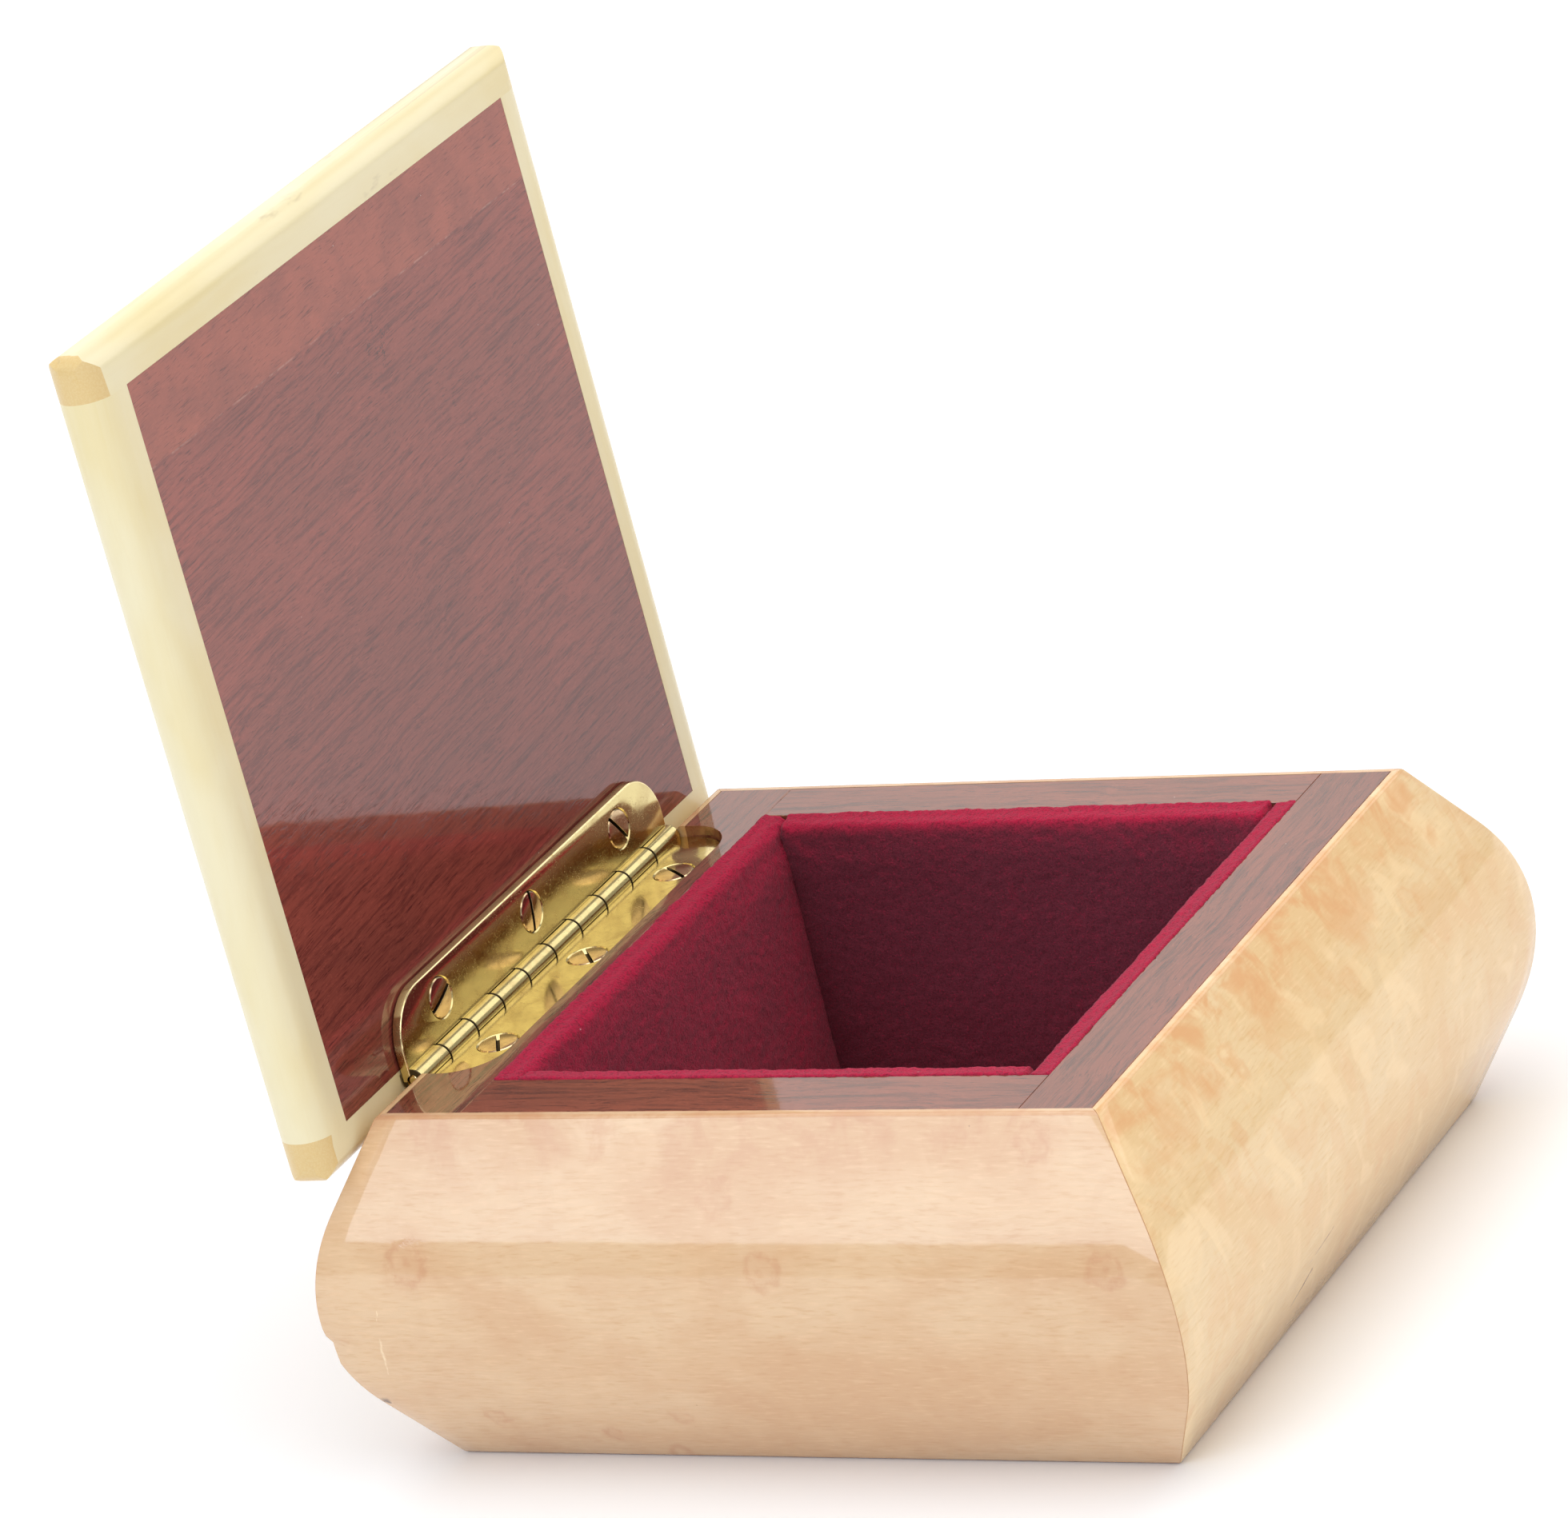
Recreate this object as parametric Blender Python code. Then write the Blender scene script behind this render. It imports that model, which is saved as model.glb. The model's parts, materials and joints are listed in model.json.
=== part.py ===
"""Ring box: a mahogany carcass with bulging bird's-eye maple sides and a velvet-lined well.

The hinged lid is a flat panel framed in pale bullnosed strips. It stands just past vertical.
Frame: metres, +Z up, the origin at the middle of the underside. +X runs from the hinge
side to the opening side, and -Y is the front.
"""

import math

import bmesh
import bpy
from mathutils import Matrix, Vector

MM = 0.001

# Driving dimensions of the base
HEIGHT = 41.5 * MM
CARCASS_LENGTH = 86.1 * MM  # along X, over the mahogany
CARCASS_WIDTH = 83.0 * MM  # along Y
WALL = {"left": 9.5 * MM, "right": 8.7 * MM, "front": 7.9 * MM, "back": 7.4 * MM}
BOTTOM_THICKNESS = 3.0 * MM

# The maple sides: a middle arc with straight tangents to a thin edge at top and bottom
SIDE_EDGE = 0.9 * MM
BULGE_RADIUS = 23.3 * MM
BULGE_HALF_ANGLE = math.radians(30)
BULGE_STEPS = 20

# The lining: velvet over card, one pad to each wall and one on the floor
PAD_THICKNESS = 3.1 * MM
CARD_THICKNESS = 1.2 * MM
PAD_BELOW_RIM = 0.9 * MM
PAD_ROUNDING = 1.2 * MM
PAD_LIP = 2.0 * MM

# The lid, measured along itself from the hinge axis
LID_LENGTH = 97.4 * MM
LID_WIDTH = 95.8 * MM
LID_THICKNESS = 6.8 * MM
LID_OVERHANG = 3.95 * MM  # behind the hinge axis
LID_MIDDLE_Y = -1.3 * MM
LID_OPEN = math.radians(91.4)
STRIP_WIDTH = 5.3 * MM
STRIP_CORNER = 1.4 * MM
NOSE_RADIUS = 3.3 * MM
FACING_THICKNESS = 1.2 * MM
SHUT_GAP = 0.35 * MM  # between the lid and the rim when it is shut

# The butt hinge
AXIS_X = -45.2 * MM
AXIS_BELOW_RIM = 1.1 * MM
BARREL_LENGTH = 63.5 * MM
BARREL_RADIUS = 1.45 * MM
PIN_RADIUS = 0.7 * MM
KNUCKLES = 10
LEAF_WIDTH = 9.2 * MM  # from the axis
LEAF_THICKNESS = 1.05 * MM
LEAF_PARTING = 0.15 * MM  # from the plane of the axis to each leaf
LEAF_CORNER = 6.0 * MM

# The screws: slotted, countersunk
SCREW_FROM_AXIS = 5.5 * MM
SCREW_PITCH = 21.9 * MM
SCREW_HEAD_RADIUS = 2.3 * MM
SCREW_HEAD_DEPTH = 0.9 * MM
SCREW_LAND = 0.12 * MM
SHANK_RADIUS = 0.85 * MM
SLOT_WIDTH = 0.5 * MM
SLOT_DEPTH = 0.45 * MM
LOWER_SCREW_LENGTH = 8.0 * MM
UPPER_SCREW_LENGTH = 5.6 * MM
LOWER_SLOTS = {"front": 151, "middle": 140, "back": 125}  # degrees from the pin
UPPER_SLOTS = {"front": 20, "middle": 79, "back": 127}

# Fits
GLUE_LINE = 0.2 * MM
CLEARANCE = 0.3 * MM
ROUND_SEGMENTS = 32
PIN_SEGMENTS = 24
CORNER_STEPS = 8

# Worked out from the sizes above
HALF_X = CARCASS_LENGTH / 2
HALF_Y = CARCASS_WIDTH / 2
AXIS_Z = HEIGHT - AXIS_BELOW_RIM
LID_RISE = AXIS_BELOW_RIM + SHUT_GAP  # from the axis to the lid's inner face
WELL_LOW = Vector((WALL["left"] - HALF_X, WALL["front"] - HALF_Y, BOTTOM_THICKNESS))
WELL_HIGH = Vector((HALF_X - WALL["right"], HALF_Y - WALL["back"], HEIGHT - PAD_BELOW_RIM))
KNUCKLE_PITCH = BARREL_LENGTH / KNUCKLES
JOINT = GLUE_LINE / 2

FINISHES = {
    "birdseye_maple": ((0.78, 0.53, 0.31), 0.18, 0.0),
    "mahogany": ((0.17, 0.04, 0.028), 0.2, 0.0),
    "holly": ((0.86, 0.73, 0.42), 0.3, 0.0),
    "plywood": ((0.52, 0.38, 0.23), 0.6, 0.0),
    "velvet": ((0.17, 0.006, 0.022), 0.9, 0.0),
    "card": ((0.30, 0.26, 0.20), 0.9, 0.0),
    "brass": ((0.72, 0.50, 0.17), 0.25, 1.0),
    "screw_brass": ((0.62, 0.42, 0.26), 0.35, 1.0),
}


def clear_scene():
    for old in list(bpy.data.objects):
        bpy.data.objects.remove(old, do_unlink=True)


def new_collection(name):
    made = bpy.data.collections.new(name)
    bpy.context.scene.collection.children.link(made)
    return made


def material(name):
    """The named finish as a Principled material, made once."""
    if name in bpy.data.materials:
        return bpy.data.materials[name]
    colour, roughness, metallic = FINISHES[name]
    made = bpy.data.materials.new(name)
    made.use_nodes = True
    shader = made.node_tree.nodes["Principled BSDF"]
    shader.inputs["Base Color"].default_value = (*colour, 1.0)
    shader.inputs["Roughness"].default_value = roughness
    shader.inputs["Metallic"].default_value = metallic
    made.diffuse_color = (*colour, 1.0)
    return made


def add_part(name, bm, finish, parent=None):
    """Turn a bmesh into a named part of the box."""
    mesh = bpy.data.meshes.new(name)
    bmesh.ops.recalc_face_normals(bm, faces=bm.faces)
    bm.to_mesh(mesh)
    bm.free()
    part = bpy.data.objects.new(name, mesh)
    part.data.materials.append(material(finish))
    PARTS.objects.link(part)
    part.parent = parent
    return part


def add_cutter(name, bm, parent=None):
    """Turn a bmesh into a hidden cutter."""
    mesh = bpy.data.meshes.new(name)
    bmesh.ops.recalc_face_normals(bm, faces=bm.faces)
    bm.to_mesh(mesh)
    bm.free()
    cutter = bpy.data.objects.new(name, mesh)
    cutter.hide_render = True
    cutter.display_type = "WIRE"
    CUTTERS.objects.link(cutter)
    cutter.parent = parent
    return cutter


def boolean(part, cutter, operation="DIFFERENCE"):
    step = part.modifiers.new(cutter.name, "BOOLEAN")
    step.operation = operation
    step.object = cutter


def block(low, high):
    """A box between two corners."""
    low, high = Vector(low), Vector(high)
    bm = bmesh.new()
    bmesh.ops.create_cube(bm, size=1.0)
    bmesh.ops.scale(bm, vec=high - low, verts=bm.verts)
    bmesh.ops.translate(bm, vec=(high + low) / 2, verts=bm.verts)
    return bm


def rod(radius, length, middle_y=0.0, segments=ROUND_SEGMENTS):
    """A cylinder along Y on the hinge axis."""
    lay = Matrix.Rotation(math.pi / 2, 4, "X")
    bm = bmesh.new()
    bmesh.ops.create_cone(
        bm, cap_ends=True, segments=segments, radius1=radius, radius2=radius,
        depth=length, matrix=Matrix.Translation((0, middle_y, 0)) @ lay,
    )
    return bm


def merged(pieces):
    """Several bmeshes as one, which empties them."""
    whole = bmesh.new()
    for piece in pieces:
        scratch = bpy.data.meshes.new("scratch")
        piece.to_mesh(scratch)
        piece.free()
        whole.from_mesh(scratch)
        bpy.data.meshes.remove(scratch)
    return whole


def prism(outline, axis, low, high):
    """A closed outline of 3-D points, all at one place along the axis, extruded from low to high."""
    bm = bmesh.new()
    corners = []
    for point in outline:
        at = Vector(point)
        at[axis] = low
        corners.append(bm.verts.new(at))
    face = bm.faces.new(corners)
    grown = bmesh.ops.extrude_face_region(bm, geom=[face])
    moved = [v for v in grown["geom"] if isinstance(v, bmesh.types.BMVert)]
    push = Vector((0, 0, 0))
    push[axis] = high - low
    bmesh.ops.translate(bm, vec=push, verts=moved)
    return bm


def arc(middle, radius, start, end, steps):
    """Points of an arc in a plane, as pairs, from one angle to another."""
    return [
        (
            middle[0] + radius * math.cos(start + (end - start) * i / steps),
            middle[1] + radius * math.sin(start + (end - start) * i / steps),
        )
        for i in range(steps + 1)
    ]


def cut_off(bm, point, outward):
    """Remove what lies beyond a plane and close the cut."""
    geometry = list(bm.verts) + list(bm.edges) + list(bm.faces)
    cut = bmesh.ops.bisect_plane(
        bm, geom=geometry, plane_co=point, plane_no=outward, clear_outer=True,
    )
    rim = [e for e in cut["geom_cut"] if isinstance(e, bmesh.types.BMEdge)]
    bmesh.ops.holes_fill(bm, edges=rim, sides=0)


def side_section():
    """The maple side's section, as (distance out from the carcass, height) pairs."""
    middle = HEIGHT / 2
    reach = BULGE_RADIUS * math.sin(BULGE_HALF_ANGLE)
    slope = (middle - reach) * math.tan(BULGE_HALF_ANGLE)
    crown = SIDE_EDGE + slope + BULGE_RADIUS * (1 - math.cos(BULGE_HALF_ANGLE))
    bow = arc(
        (crown - BULGE_RADIUS, middle), BULGE_RADIUS,
        -BULGE_HALF_ANGLE, BULGE_HALF_ANGLE, BULGE_STEPS,
    )
    return [(JOINT, 0.0), (SIDE_EDGE, 0.0), *bow, (SIDE_EDGE, HEIGHT), (JOINT, HEIGHT)]


def maple_side(name, outward):
    """One bulging side, mitred at both ends. Outward is the unit vector that it faces."""
    across = 0 if outward.x else 1
    face = HALF_X if outward.x else HALF_Y
    sign = outward[across]
    outline = []
    for out, height in side_section():
        point = Vector((0, 0, height))
        point[across] = sign * (face + out)
        outline.append(point)
    length = HALF_X + HALF_Y
    bm = prism(outline, 1 - across, -length, length)
    for end in (-1, 1):
        corner = Vector((HALF_X, HALF_Y, 0))
        corner[across] *= sign
        corner[1 - across] *= end
        away = Vector((0, 0, 0))
        away[1 - across] = end
        away[across] = -sign
        away.normalize()
        cut_off(bm, corner - away * JOINT, away)
    return add_part(name, bm, "birdseye_maple")


def base_shell():
    """The bottom, the butted carcass and the four maple sides."""
    inset = Vector((JOINT, JOINT, 0))
    corner = Vector((HALF_X, HALF_Y, 0))
    low, high = -corner + inset, corner - inset
    top = Vector((0, 0, HEIGHT))
    foot = BOTTOM_THICKNESS + GLUE_LINE
    bottom = block(low, high + Vector((0, 0, BOTTOM_THICKNESS)))
    add_part("bottom_panel", bottom, "mahogany")
    spans = {
        "left_wall": ((low.x, low.y), (WELL_LOW.x, high.y)),
        "right_wall": ((WELL_HIGH.x, low.y), (high.x, high.y)),
        "front_wall": ((WELL_LOW.x + GLUE_LINE, low.y), (WELL_HIGH.x - GLUE_LINE, WELL_LOW.y)),
        "back_wall": ((WELL_LOW.x + GLUE_LINE, WELL_HIGH.y), (WELL_HIGH.x - GLUE_LINE, high.y)),
    }
    for name, (near, far) in spans.items():
        add_part(name, block((*near, foot), (*far, top.z)), "mahogany")
    faces = {
        "left_side": Vector((-1, 0, 0)),
        "right_side": Vector((1, 0, 0)),
        "front_side": Vector((0, -1, 0)),
        "back_side": Vector((0, 1, 0)),
    }
    for name, outward in faces.items():
        maple_side(name, outward)


def round_top(bm, top):
    """Round the edges around the top of a pad."""
    edges = [e for e in bm.edges if all(abs(v.co.z - top) < 1e-6 for v in e.verts)]
    bmesh.ops.bevel(
        bm, geom=edges, offset=PAD_ROUNDING, segments=4, profile=0.5,
        affect="EDGES", clamp_overlap=True, material=-1,
    )


def wall_pad(side, low, high, across, facing):
    """A velvet pad with a rebate in its back for its card, and the card."""
    bm = block(low, high)
    round_top(bm, high.z)
    pad = add_part(f"{side}_pad", bm, "velvet")
    card_low, card_high = low.copy(), high.copy()
    card_high.z -= PAD_LIP
    back = low[across] if facing > 0 else high[across]
    front = back + facing * CARD_THICKNESS
    card_low[across], card_high[across] = min(back, front), max(back, front)
    along = 1 - across
    card_low[along] += PAD_LIP
    card_high[along] -= PAD_LIP
    room_low, room_high = card_low.copy(), card_high.copy()
    for i in range(3):
        room_low[i] -= GLUE_LINE
        room_high[i] += GLUE_LINE
    if facing > 0:
        room_low[across] -= PAD_THICKNESS
    else:
        room_high[across] += PAD_THICKNESS
    room_low.z -= PAD_THICKNESS
    boolean(pad, add_cutter(f"{side}_rebate", block(room_low, room_high)))
    add_part(f"{side}_card", block(card_low, card_high), "card")


def lining():
    """Velvet pads and their cards on the four walls and the floor of the well."""
    floor = BOTTOM_THICKNESS + 2 * GLUE_LINE
    low = Vector((WELL_LOW.x + GLUE_LINE, WELL_LOW.y + GLUE_LINE, floor))
    high = Vector((WELL_HIGH.x - GLUE_LINE, WELL_HIGH.y - GLUE_LINE, WELL_HIGH.z))
    inner_low = low.x + PAD_THICKNESS + GLUE_LINE
    inner_high = high.x - PAD_THICKNESS - GLUE_LINE
    wall_pad("left", low, Vector((low.x + PAD_THICKNESS, high.y, high.z)), 0, 1)
    wall_pad("right", Vector((high.x - PAD_THICKNESS, low.y, low.z)), high, 0, -1)
    front_low = Vector((inner_low, low.y, low.z))
    front_high = Vector((inner_high, low.y + PAD_THICKNESS, high.z))
    wall_pad("front", front_low, front_high, 1, 1)
    back_low = Vector((inner_low, high.y - PAD_THICKNESS, low.z))
    back_high = Vector((inner_high, high.y, high.z))
    wall_pad("back", back_low, back_high, 1, -1)
    inside_low = Vector((inner_low, front_high.y + GLUE_LINE, floor))
    inside_high = Vector((inner_high, back_low.y - GLUE_LINE, floor + CARD_THICKNESS))
    add_part("floor_card", block(inside_low, inside_high), "card")
    rise = Vector((0, 0, CARD_THICKNESS + GLUE_LINE))
    pad = block(inside_low + rise, inside_high + Vector((0, 0, PAD_THICKNESS - CARD_THICKNESS)))
    add_part("floor_pad", pad, "velvet")


def stadium(low, high, bottom, top, radius, steps=10):
    """A slab's section with a round nose at each end, as pairs."""
    quarter = math.pi / 2
    points = arc((high - radius, bottom + radius), radius, -quarter, 0, steps)
    points += arc((high - radius, top - radius), radius, 0, quarter, steps)
    points += arc((low + radius, top - radius), radius, quarter, 2 * quarter, steps)
    points += arc((low + radius, bottom + radius), radius, 2 * quarter, 3 * quarter, steps)
    return points


def lid_parts(carrier):
    """The lid, laid shut about the hinge axis: core, two facings and four nosed strips."""
    low = Vector((-LID_OVERHANG, LID_MIDDLE_Y - LID_WIDTH / 2, LID_RISE))
    high = low + Vector((LID_LENGTH, LID_WIDTH, LID_THICKNESS))
    field = Vector((STRIP_WIDTH, STRIP_WIDTH, 0))
    inner_low, inner_high = low + field, high - field
    glue = Vector((JOINT, JOINT, 0))
    up = Vector((0, 0, 1))
    levels = (
        ("lid_lining", "mahogany", 0.0, FACING_THICKNESS),
        ("lid_core", "plywood", FACING_THICKNESS + GLUE_LINE,
         LID_THICKNESS - FACING_THICKNESS - GLUE_LINE),
        ("lid_top_panel", "birdseye_maple", LID_THICKNESS - FACING_THICKNESS, LID_THICKNESS),
    )
    for name, finish, bottom, top in levels:
        near = inner_low + glue + up * bottom
        far = Vector((inner_high.x, inner_high.y, low.z)) - glue + up * top
        add_part(name, block(near, far), finish, carrier)

    spare = 5 * MM
    nose_x = [(x, 0, z) for x, z in stadium(low.x, high.x, low.z, high.z, NOSE_RADIUS)]
    nose_y = [(0, y, z) for y, z in stadium(low.y, high.y, low.z, high.z, NOSE_RADIUS)]
    corners = stadium(low.x, high.x, low.y, high.y, STRIP_CORNER, 5)
    outline = [(x, y, 0) for x, y in corners]
    shapers = (
        add_cutter("lid_nose_x", prism(nose_x, 1, low.y - spare, high.y + spare), carrier),
        add_cutter("lid_nose_y", prism(nose_y, 0, low.x - spare, high.x + spare), carrier),
        add_cutter("lid_outline", prism(outline, 2, low.z - spare, high.z + spare), carrier),
    )
    strips = {
        "lid_edge_hinge": (low, Vector((inner_low.x, high.y, high.z))),
        "lid_edge_free": (Vector((inner_high.x, low.y, low.z)), high),
        "lid_edge_front": (
            Vector((inner_low.x + GLUE_LINE, low.y, low.z)),
            Vector((inner_high.x - GLUE_LINE, inner_low.y, high.z)),
        ),
        "lid_edge_back": (
            Vector((inner_low.x + GLUE_LINE, inner_high.y, low.z)),
            Vector((inner_high.x - GLUE_LINE, high.y, high.z)),
        ),
    }
    for name, (near, far) in strips.items():
        strip = add_part(name, block(near, far), "holly", carrier)
        for shaper in shapers:
            boolean(strip, shaper, "INTERSECT")


def round_far_corners(bm, far):
    """Round the two upright edges of a plate that lie at x = far."""
    uprights = [
        e for e in bm.edges
        if all(abs(v.co.x - far) < 1e-6 for v in e.verts)
        and abs(e.verts[0].co.y - e.verts[1].co.y) < 1e-6
    ]
    bmesh.ops.bevel(
        bm, geom=uprights, offset=LEAF_CORNER, segments=CORNER_STEPS, profile=0.5,
        affect="EDGES", clamp_overlap=True, material=-1,
    )


def leaf(name, facing, first_knuckle, carrier):
    """A hinge leaf lying along +X from its axis, above it (facing 1) or below it (-1)."""
    half = BARREL_LENGTH / 2
    near, far = sorted((facing * LEAF_PARTING, facing * (LEAF_PARTING + LEAF_THICKNESS)))
    bm = block((0, -half, near), (LEAF_WIDTH, half, far))
    round_far_corners(bm, LEAF_WIDTH)
    plate = add_part(name, bm, "brass", carrier)
    knuckle_room = Vector(
        (BARREL_RADIUS + CLEARANCE, (KNUCKLE_PITCH + CLEARANCE) / 2, BARREL_RADIUS)
    )
    own, other = [], []
    for i in range(KNUCKLES):
        middle = (i + 0.5) * KNUCKLE_PITCH - half
        if i % 2 == first_knuckle:
            own.append(rod(BARREL_RADIUS, KNUCKLE_PITCH - CLEARANCE, middle))
        else:
            centre = Vector((0, middle, 0))
            other.append(block(centre - knuckle_room, centre + knuckle_room))
    knuckles = add_cutter(f"{name}_knuckles", merged(own), carrier)
    gaps = add_cutter(f"{name}_gaps", merged(other), carrier)
    bore = rod(PIN_RADIUS + CLEARANCE, 2 * BARREL_LENGTH, segments=PIN_SEGMENTS)
    boolean(plate, gaps)
    boolean(plate, knuckles, "UNION")
    boolean(plate, add_cutter(f"{name}_bore", bore, carrier))
    return plate


def screw_outline(length):
    """Half the section of a screw, from the middle of its head down to its point."""
    return [
        (0.0, 0.0),
        (SCREW_HEAD_RADIUS, 0.0),
        (SCREW_HEAD_RADIUS, -SCREW_LAND),
        (SHANK_RADIUS, -SCREW_HEAD_DEPTH - SCREW_LAND),
        (SHANK_RADIUS, 2 * SHANK_RADIUS - length),
        (0.0, -length),
    ]


def turned(points, spare=0.0):
    """A solid of revolution about Z from a half section, grown outwards by spare."""
    bm = bmesh.new()
    verts = [bm.verts.new((r + spare if r else 0.0, 0, z)) for r, z in points]
    for start, end in zip(verts, verts[1:]):
        bm.edges.new((start, end))
    bmesh.ops.spin(
        bm, geom=list(bm.verts) + list(bm.edges), cent=(0, 0, 0), axis=(0, 0, 1),
        angle=2 * math.pi, steps=PIN_SEGMENTS, use_merge=True,
    )
    bmesh.ops.remove_doubles(bm, verts=bm.verts, dist=1e-6)
    return bm


def screws(prefix, facing, length, slots, plate, timbers, carrier):
    """Three screws through a leaf, with the countersinks and pilot holes that they need."""
    surface = facing * LEAF_PARTING
    flip = Matrix.Rotation(math.pi if facing > 0 else 0.0, 4, "X")
    for number, (place, degrees) in enumerate(slots.items()):
        at = Vector((SCREW_FROM_AXIS, (number - 1) * SCREW_PITCH, surface))
        turn = facing * (math.radians(degrees) - math.pi / 2)
        stand = Matrix.Translation(at) @ flip @ Matrix.Rotation(turn, 4, "Z")
        outline = screw_outline(length)
        bm = turned(outline)
        bmesh.ops.transform(bm, matrix=stand, verts=bm.verts)
        screw = add_part(f"{prefix}_screw_{place}", bm, "screw_brass", carrier)
        half_slot = Vector((SCREW_HEAD_RADIUS + CLEARANCE, SLOT_WIDTH / 2, SLOT_DEPTH))
        bm = block(-half_slot, half_slot)
        bmesh.ops.transform(bm, matrix=stand, verts=bm.verts)
        boolean(screw, add_cutter(f"{screw.name}_slot", bm, carrier))
        mouth = [(0.0, CLEARANCE), (SCREW_HEAD_RADIUS, CLEARANCE), *outline[2:]]
        mouth[-1] = (0.0, -length - CLEARANCE)
        bm = turned(mouth, GLUE_LINE)
        bmesh.ops.transform(bm, matrix=stand, verts=bm.verts)
        hole = add_cutter(f"{screw.name}_hole", bm, carrier)
        boolean(plate, hole)
        for timber in timbers:
            boolean(timber, hole)


def hinge_pocket(carrier):
    """The recess in the left side and wall that takes both leaves when the lid is shut."""
    floor = -LEAF_PARTING - LEAF_THICKNESS - CLEARANCE
    half = BARREL_LENGTH / 2 + CLEARANCE
    above = AXIS_BELOW_RIM + CLEARANCE
    far = LEAF_WIDTH + CLEARANCE
    bm = block((-LEAF_WIDTH, -half, floor), (far, half, above))
    round_far_corners(bm, far)
    return add_cutter("hinge_pocket", bm, carrier)


def barrel_groove(name, carrier):
    """A groove that clears the barrel."""
    return add_cutter(name, rod(BARREL_RADIUS + CLEARANCE, BARREL_LENGTH + 2 * CLEARANCE), carrier)


def axis_frame(name, opening):
    """An empty on the hinge axis. Its +X lies along a leaf that is open by this angle."""
    empty = bpy.data.objects.new(name, None)
    CUTTERS.objects.link(empty)
    empty.location = (AXIS_X, 0, AXIS_Z)
    empty.rotation_euler = (0, -opening, 0)
    return empty


def hinge():
    """Both leaves, the pin and the screws, let into the base and the lid."""
    fixed = axis_frame("hinge_axis", 0.0)
    swinging = axis_frame("lid_axis", LID_OPEN)
    lid_parts(swinging)
    parts = PARTS.objects
    pocket = hinge_pocket(fixed)
    boolean(parts["left_wall"], pocket)
    boolean(parts["left_side"], pocket)
    boolean(parts["left_side"], barrel_groove("side_groove", fixed))
    boolean(parts["lid_edge_hinge"], barrel_groove("lid_groove", swinging))

    lower = leaf("lower_leaf", -1, 1, fixed)
    upper = leaf("upper_leaf", 1, 0, swinging)
    pin = rod(PIN_RADIUS, BARREL_LENGTH - CLEARANCE, segments=PIN_SEGMENTS)
    add_part("hinge_pin", pin, "brass", fixed)
    screws(
        "lower", -1, LOWER_SCREW_LENGTH, LOWER_SLOTS, lower, [parts["left_wall"]], fixed,
    )
    screws(
        "upper", 1, UPPER_SCREW_LENGTH, UPPER_SLOTS, upper,
        [parts["lid_lining"], parts["lid_core"]], swinging,
    )


def main():
    base_shell()
    lining()
    hinge()
    for part in PARTS.objects:
        part.data.shade_smooth()
        part.data.set_sharp_from_angle(angle=math.radians(30))


clear_scene()
PARTS = new_collection("ring_box")
CUTTERS = new_collection("cutters")
main()
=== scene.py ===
"""Ring box: its fine surfaces, finishes, lights and camera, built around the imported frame.

The base is a mahogany carcass with four bulging bird's-eye maple sides and a velvet-lined
well. A brass butt hinge carries a flat lid framed in pale bullnosed holly strips.
Units are metres. +Z is up, +X runs from the hinge to the opening side, -Y is the front.
"""

import json
import logging
import math
from collections.abc import Callable, Iterable, Sequence
from dataclasses import dataclass, field
from enum import Enum
from functools import cache

import bmesh
import bpy
from mathutils import Matrix, Quaternion, Vector, noise

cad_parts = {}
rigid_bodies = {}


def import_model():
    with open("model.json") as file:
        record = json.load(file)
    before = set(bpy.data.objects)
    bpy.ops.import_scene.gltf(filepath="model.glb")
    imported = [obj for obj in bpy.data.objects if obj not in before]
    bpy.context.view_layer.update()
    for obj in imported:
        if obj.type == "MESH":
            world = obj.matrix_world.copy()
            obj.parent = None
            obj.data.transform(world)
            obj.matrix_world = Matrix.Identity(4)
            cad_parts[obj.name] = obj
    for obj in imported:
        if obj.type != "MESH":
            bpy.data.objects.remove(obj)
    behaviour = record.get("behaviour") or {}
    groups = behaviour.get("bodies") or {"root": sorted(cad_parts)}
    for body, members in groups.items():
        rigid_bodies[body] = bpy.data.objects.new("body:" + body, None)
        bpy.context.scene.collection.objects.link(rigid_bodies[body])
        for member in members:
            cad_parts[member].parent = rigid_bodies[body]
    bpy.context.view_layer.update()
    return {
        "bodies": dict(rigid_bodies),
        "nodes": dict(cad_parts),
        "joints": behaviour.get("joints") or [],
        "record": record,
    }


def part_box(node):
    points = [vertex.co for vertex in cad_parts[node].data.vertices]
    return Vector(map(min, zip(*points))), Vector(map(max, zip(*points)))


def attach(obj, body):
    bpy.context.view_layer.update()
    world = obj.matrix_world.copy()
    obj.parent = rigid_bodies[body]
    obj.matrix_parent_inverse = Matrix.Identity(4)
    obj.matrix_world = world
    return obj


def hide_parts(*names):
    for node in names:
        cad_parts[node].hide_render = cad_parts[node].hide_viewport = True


LOG = logging.getLogger("ring_box")
MM = 0.001
SPREAD = 0.1 * MM  # how far the carcass reaches past its CAD walls, to close a hairline
EDGE = "edge"  # the face attribute: 1 on an eased edge, -1 in a hollow painted dark for dirt and painted shade

Colour = tuple[float, float, float]
Socket = bpy.types.NodeSocket


class Slot(Enum):
    """The record's material slots."""

    MAPLE = "birdseye_maple"
    MAHOGANY = "mahogany"
    HOLLY = "holly"
    PLYWOOD = "plywood"
    VELVET = "velvet"
    CARD = "card"
    BRASS = "brass"
    SCREW = "screw_brass"


class Body(Enum):
    """The two bodies that pieces ride on."""

    BASE = "base"
    LID = "lid"


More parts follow.
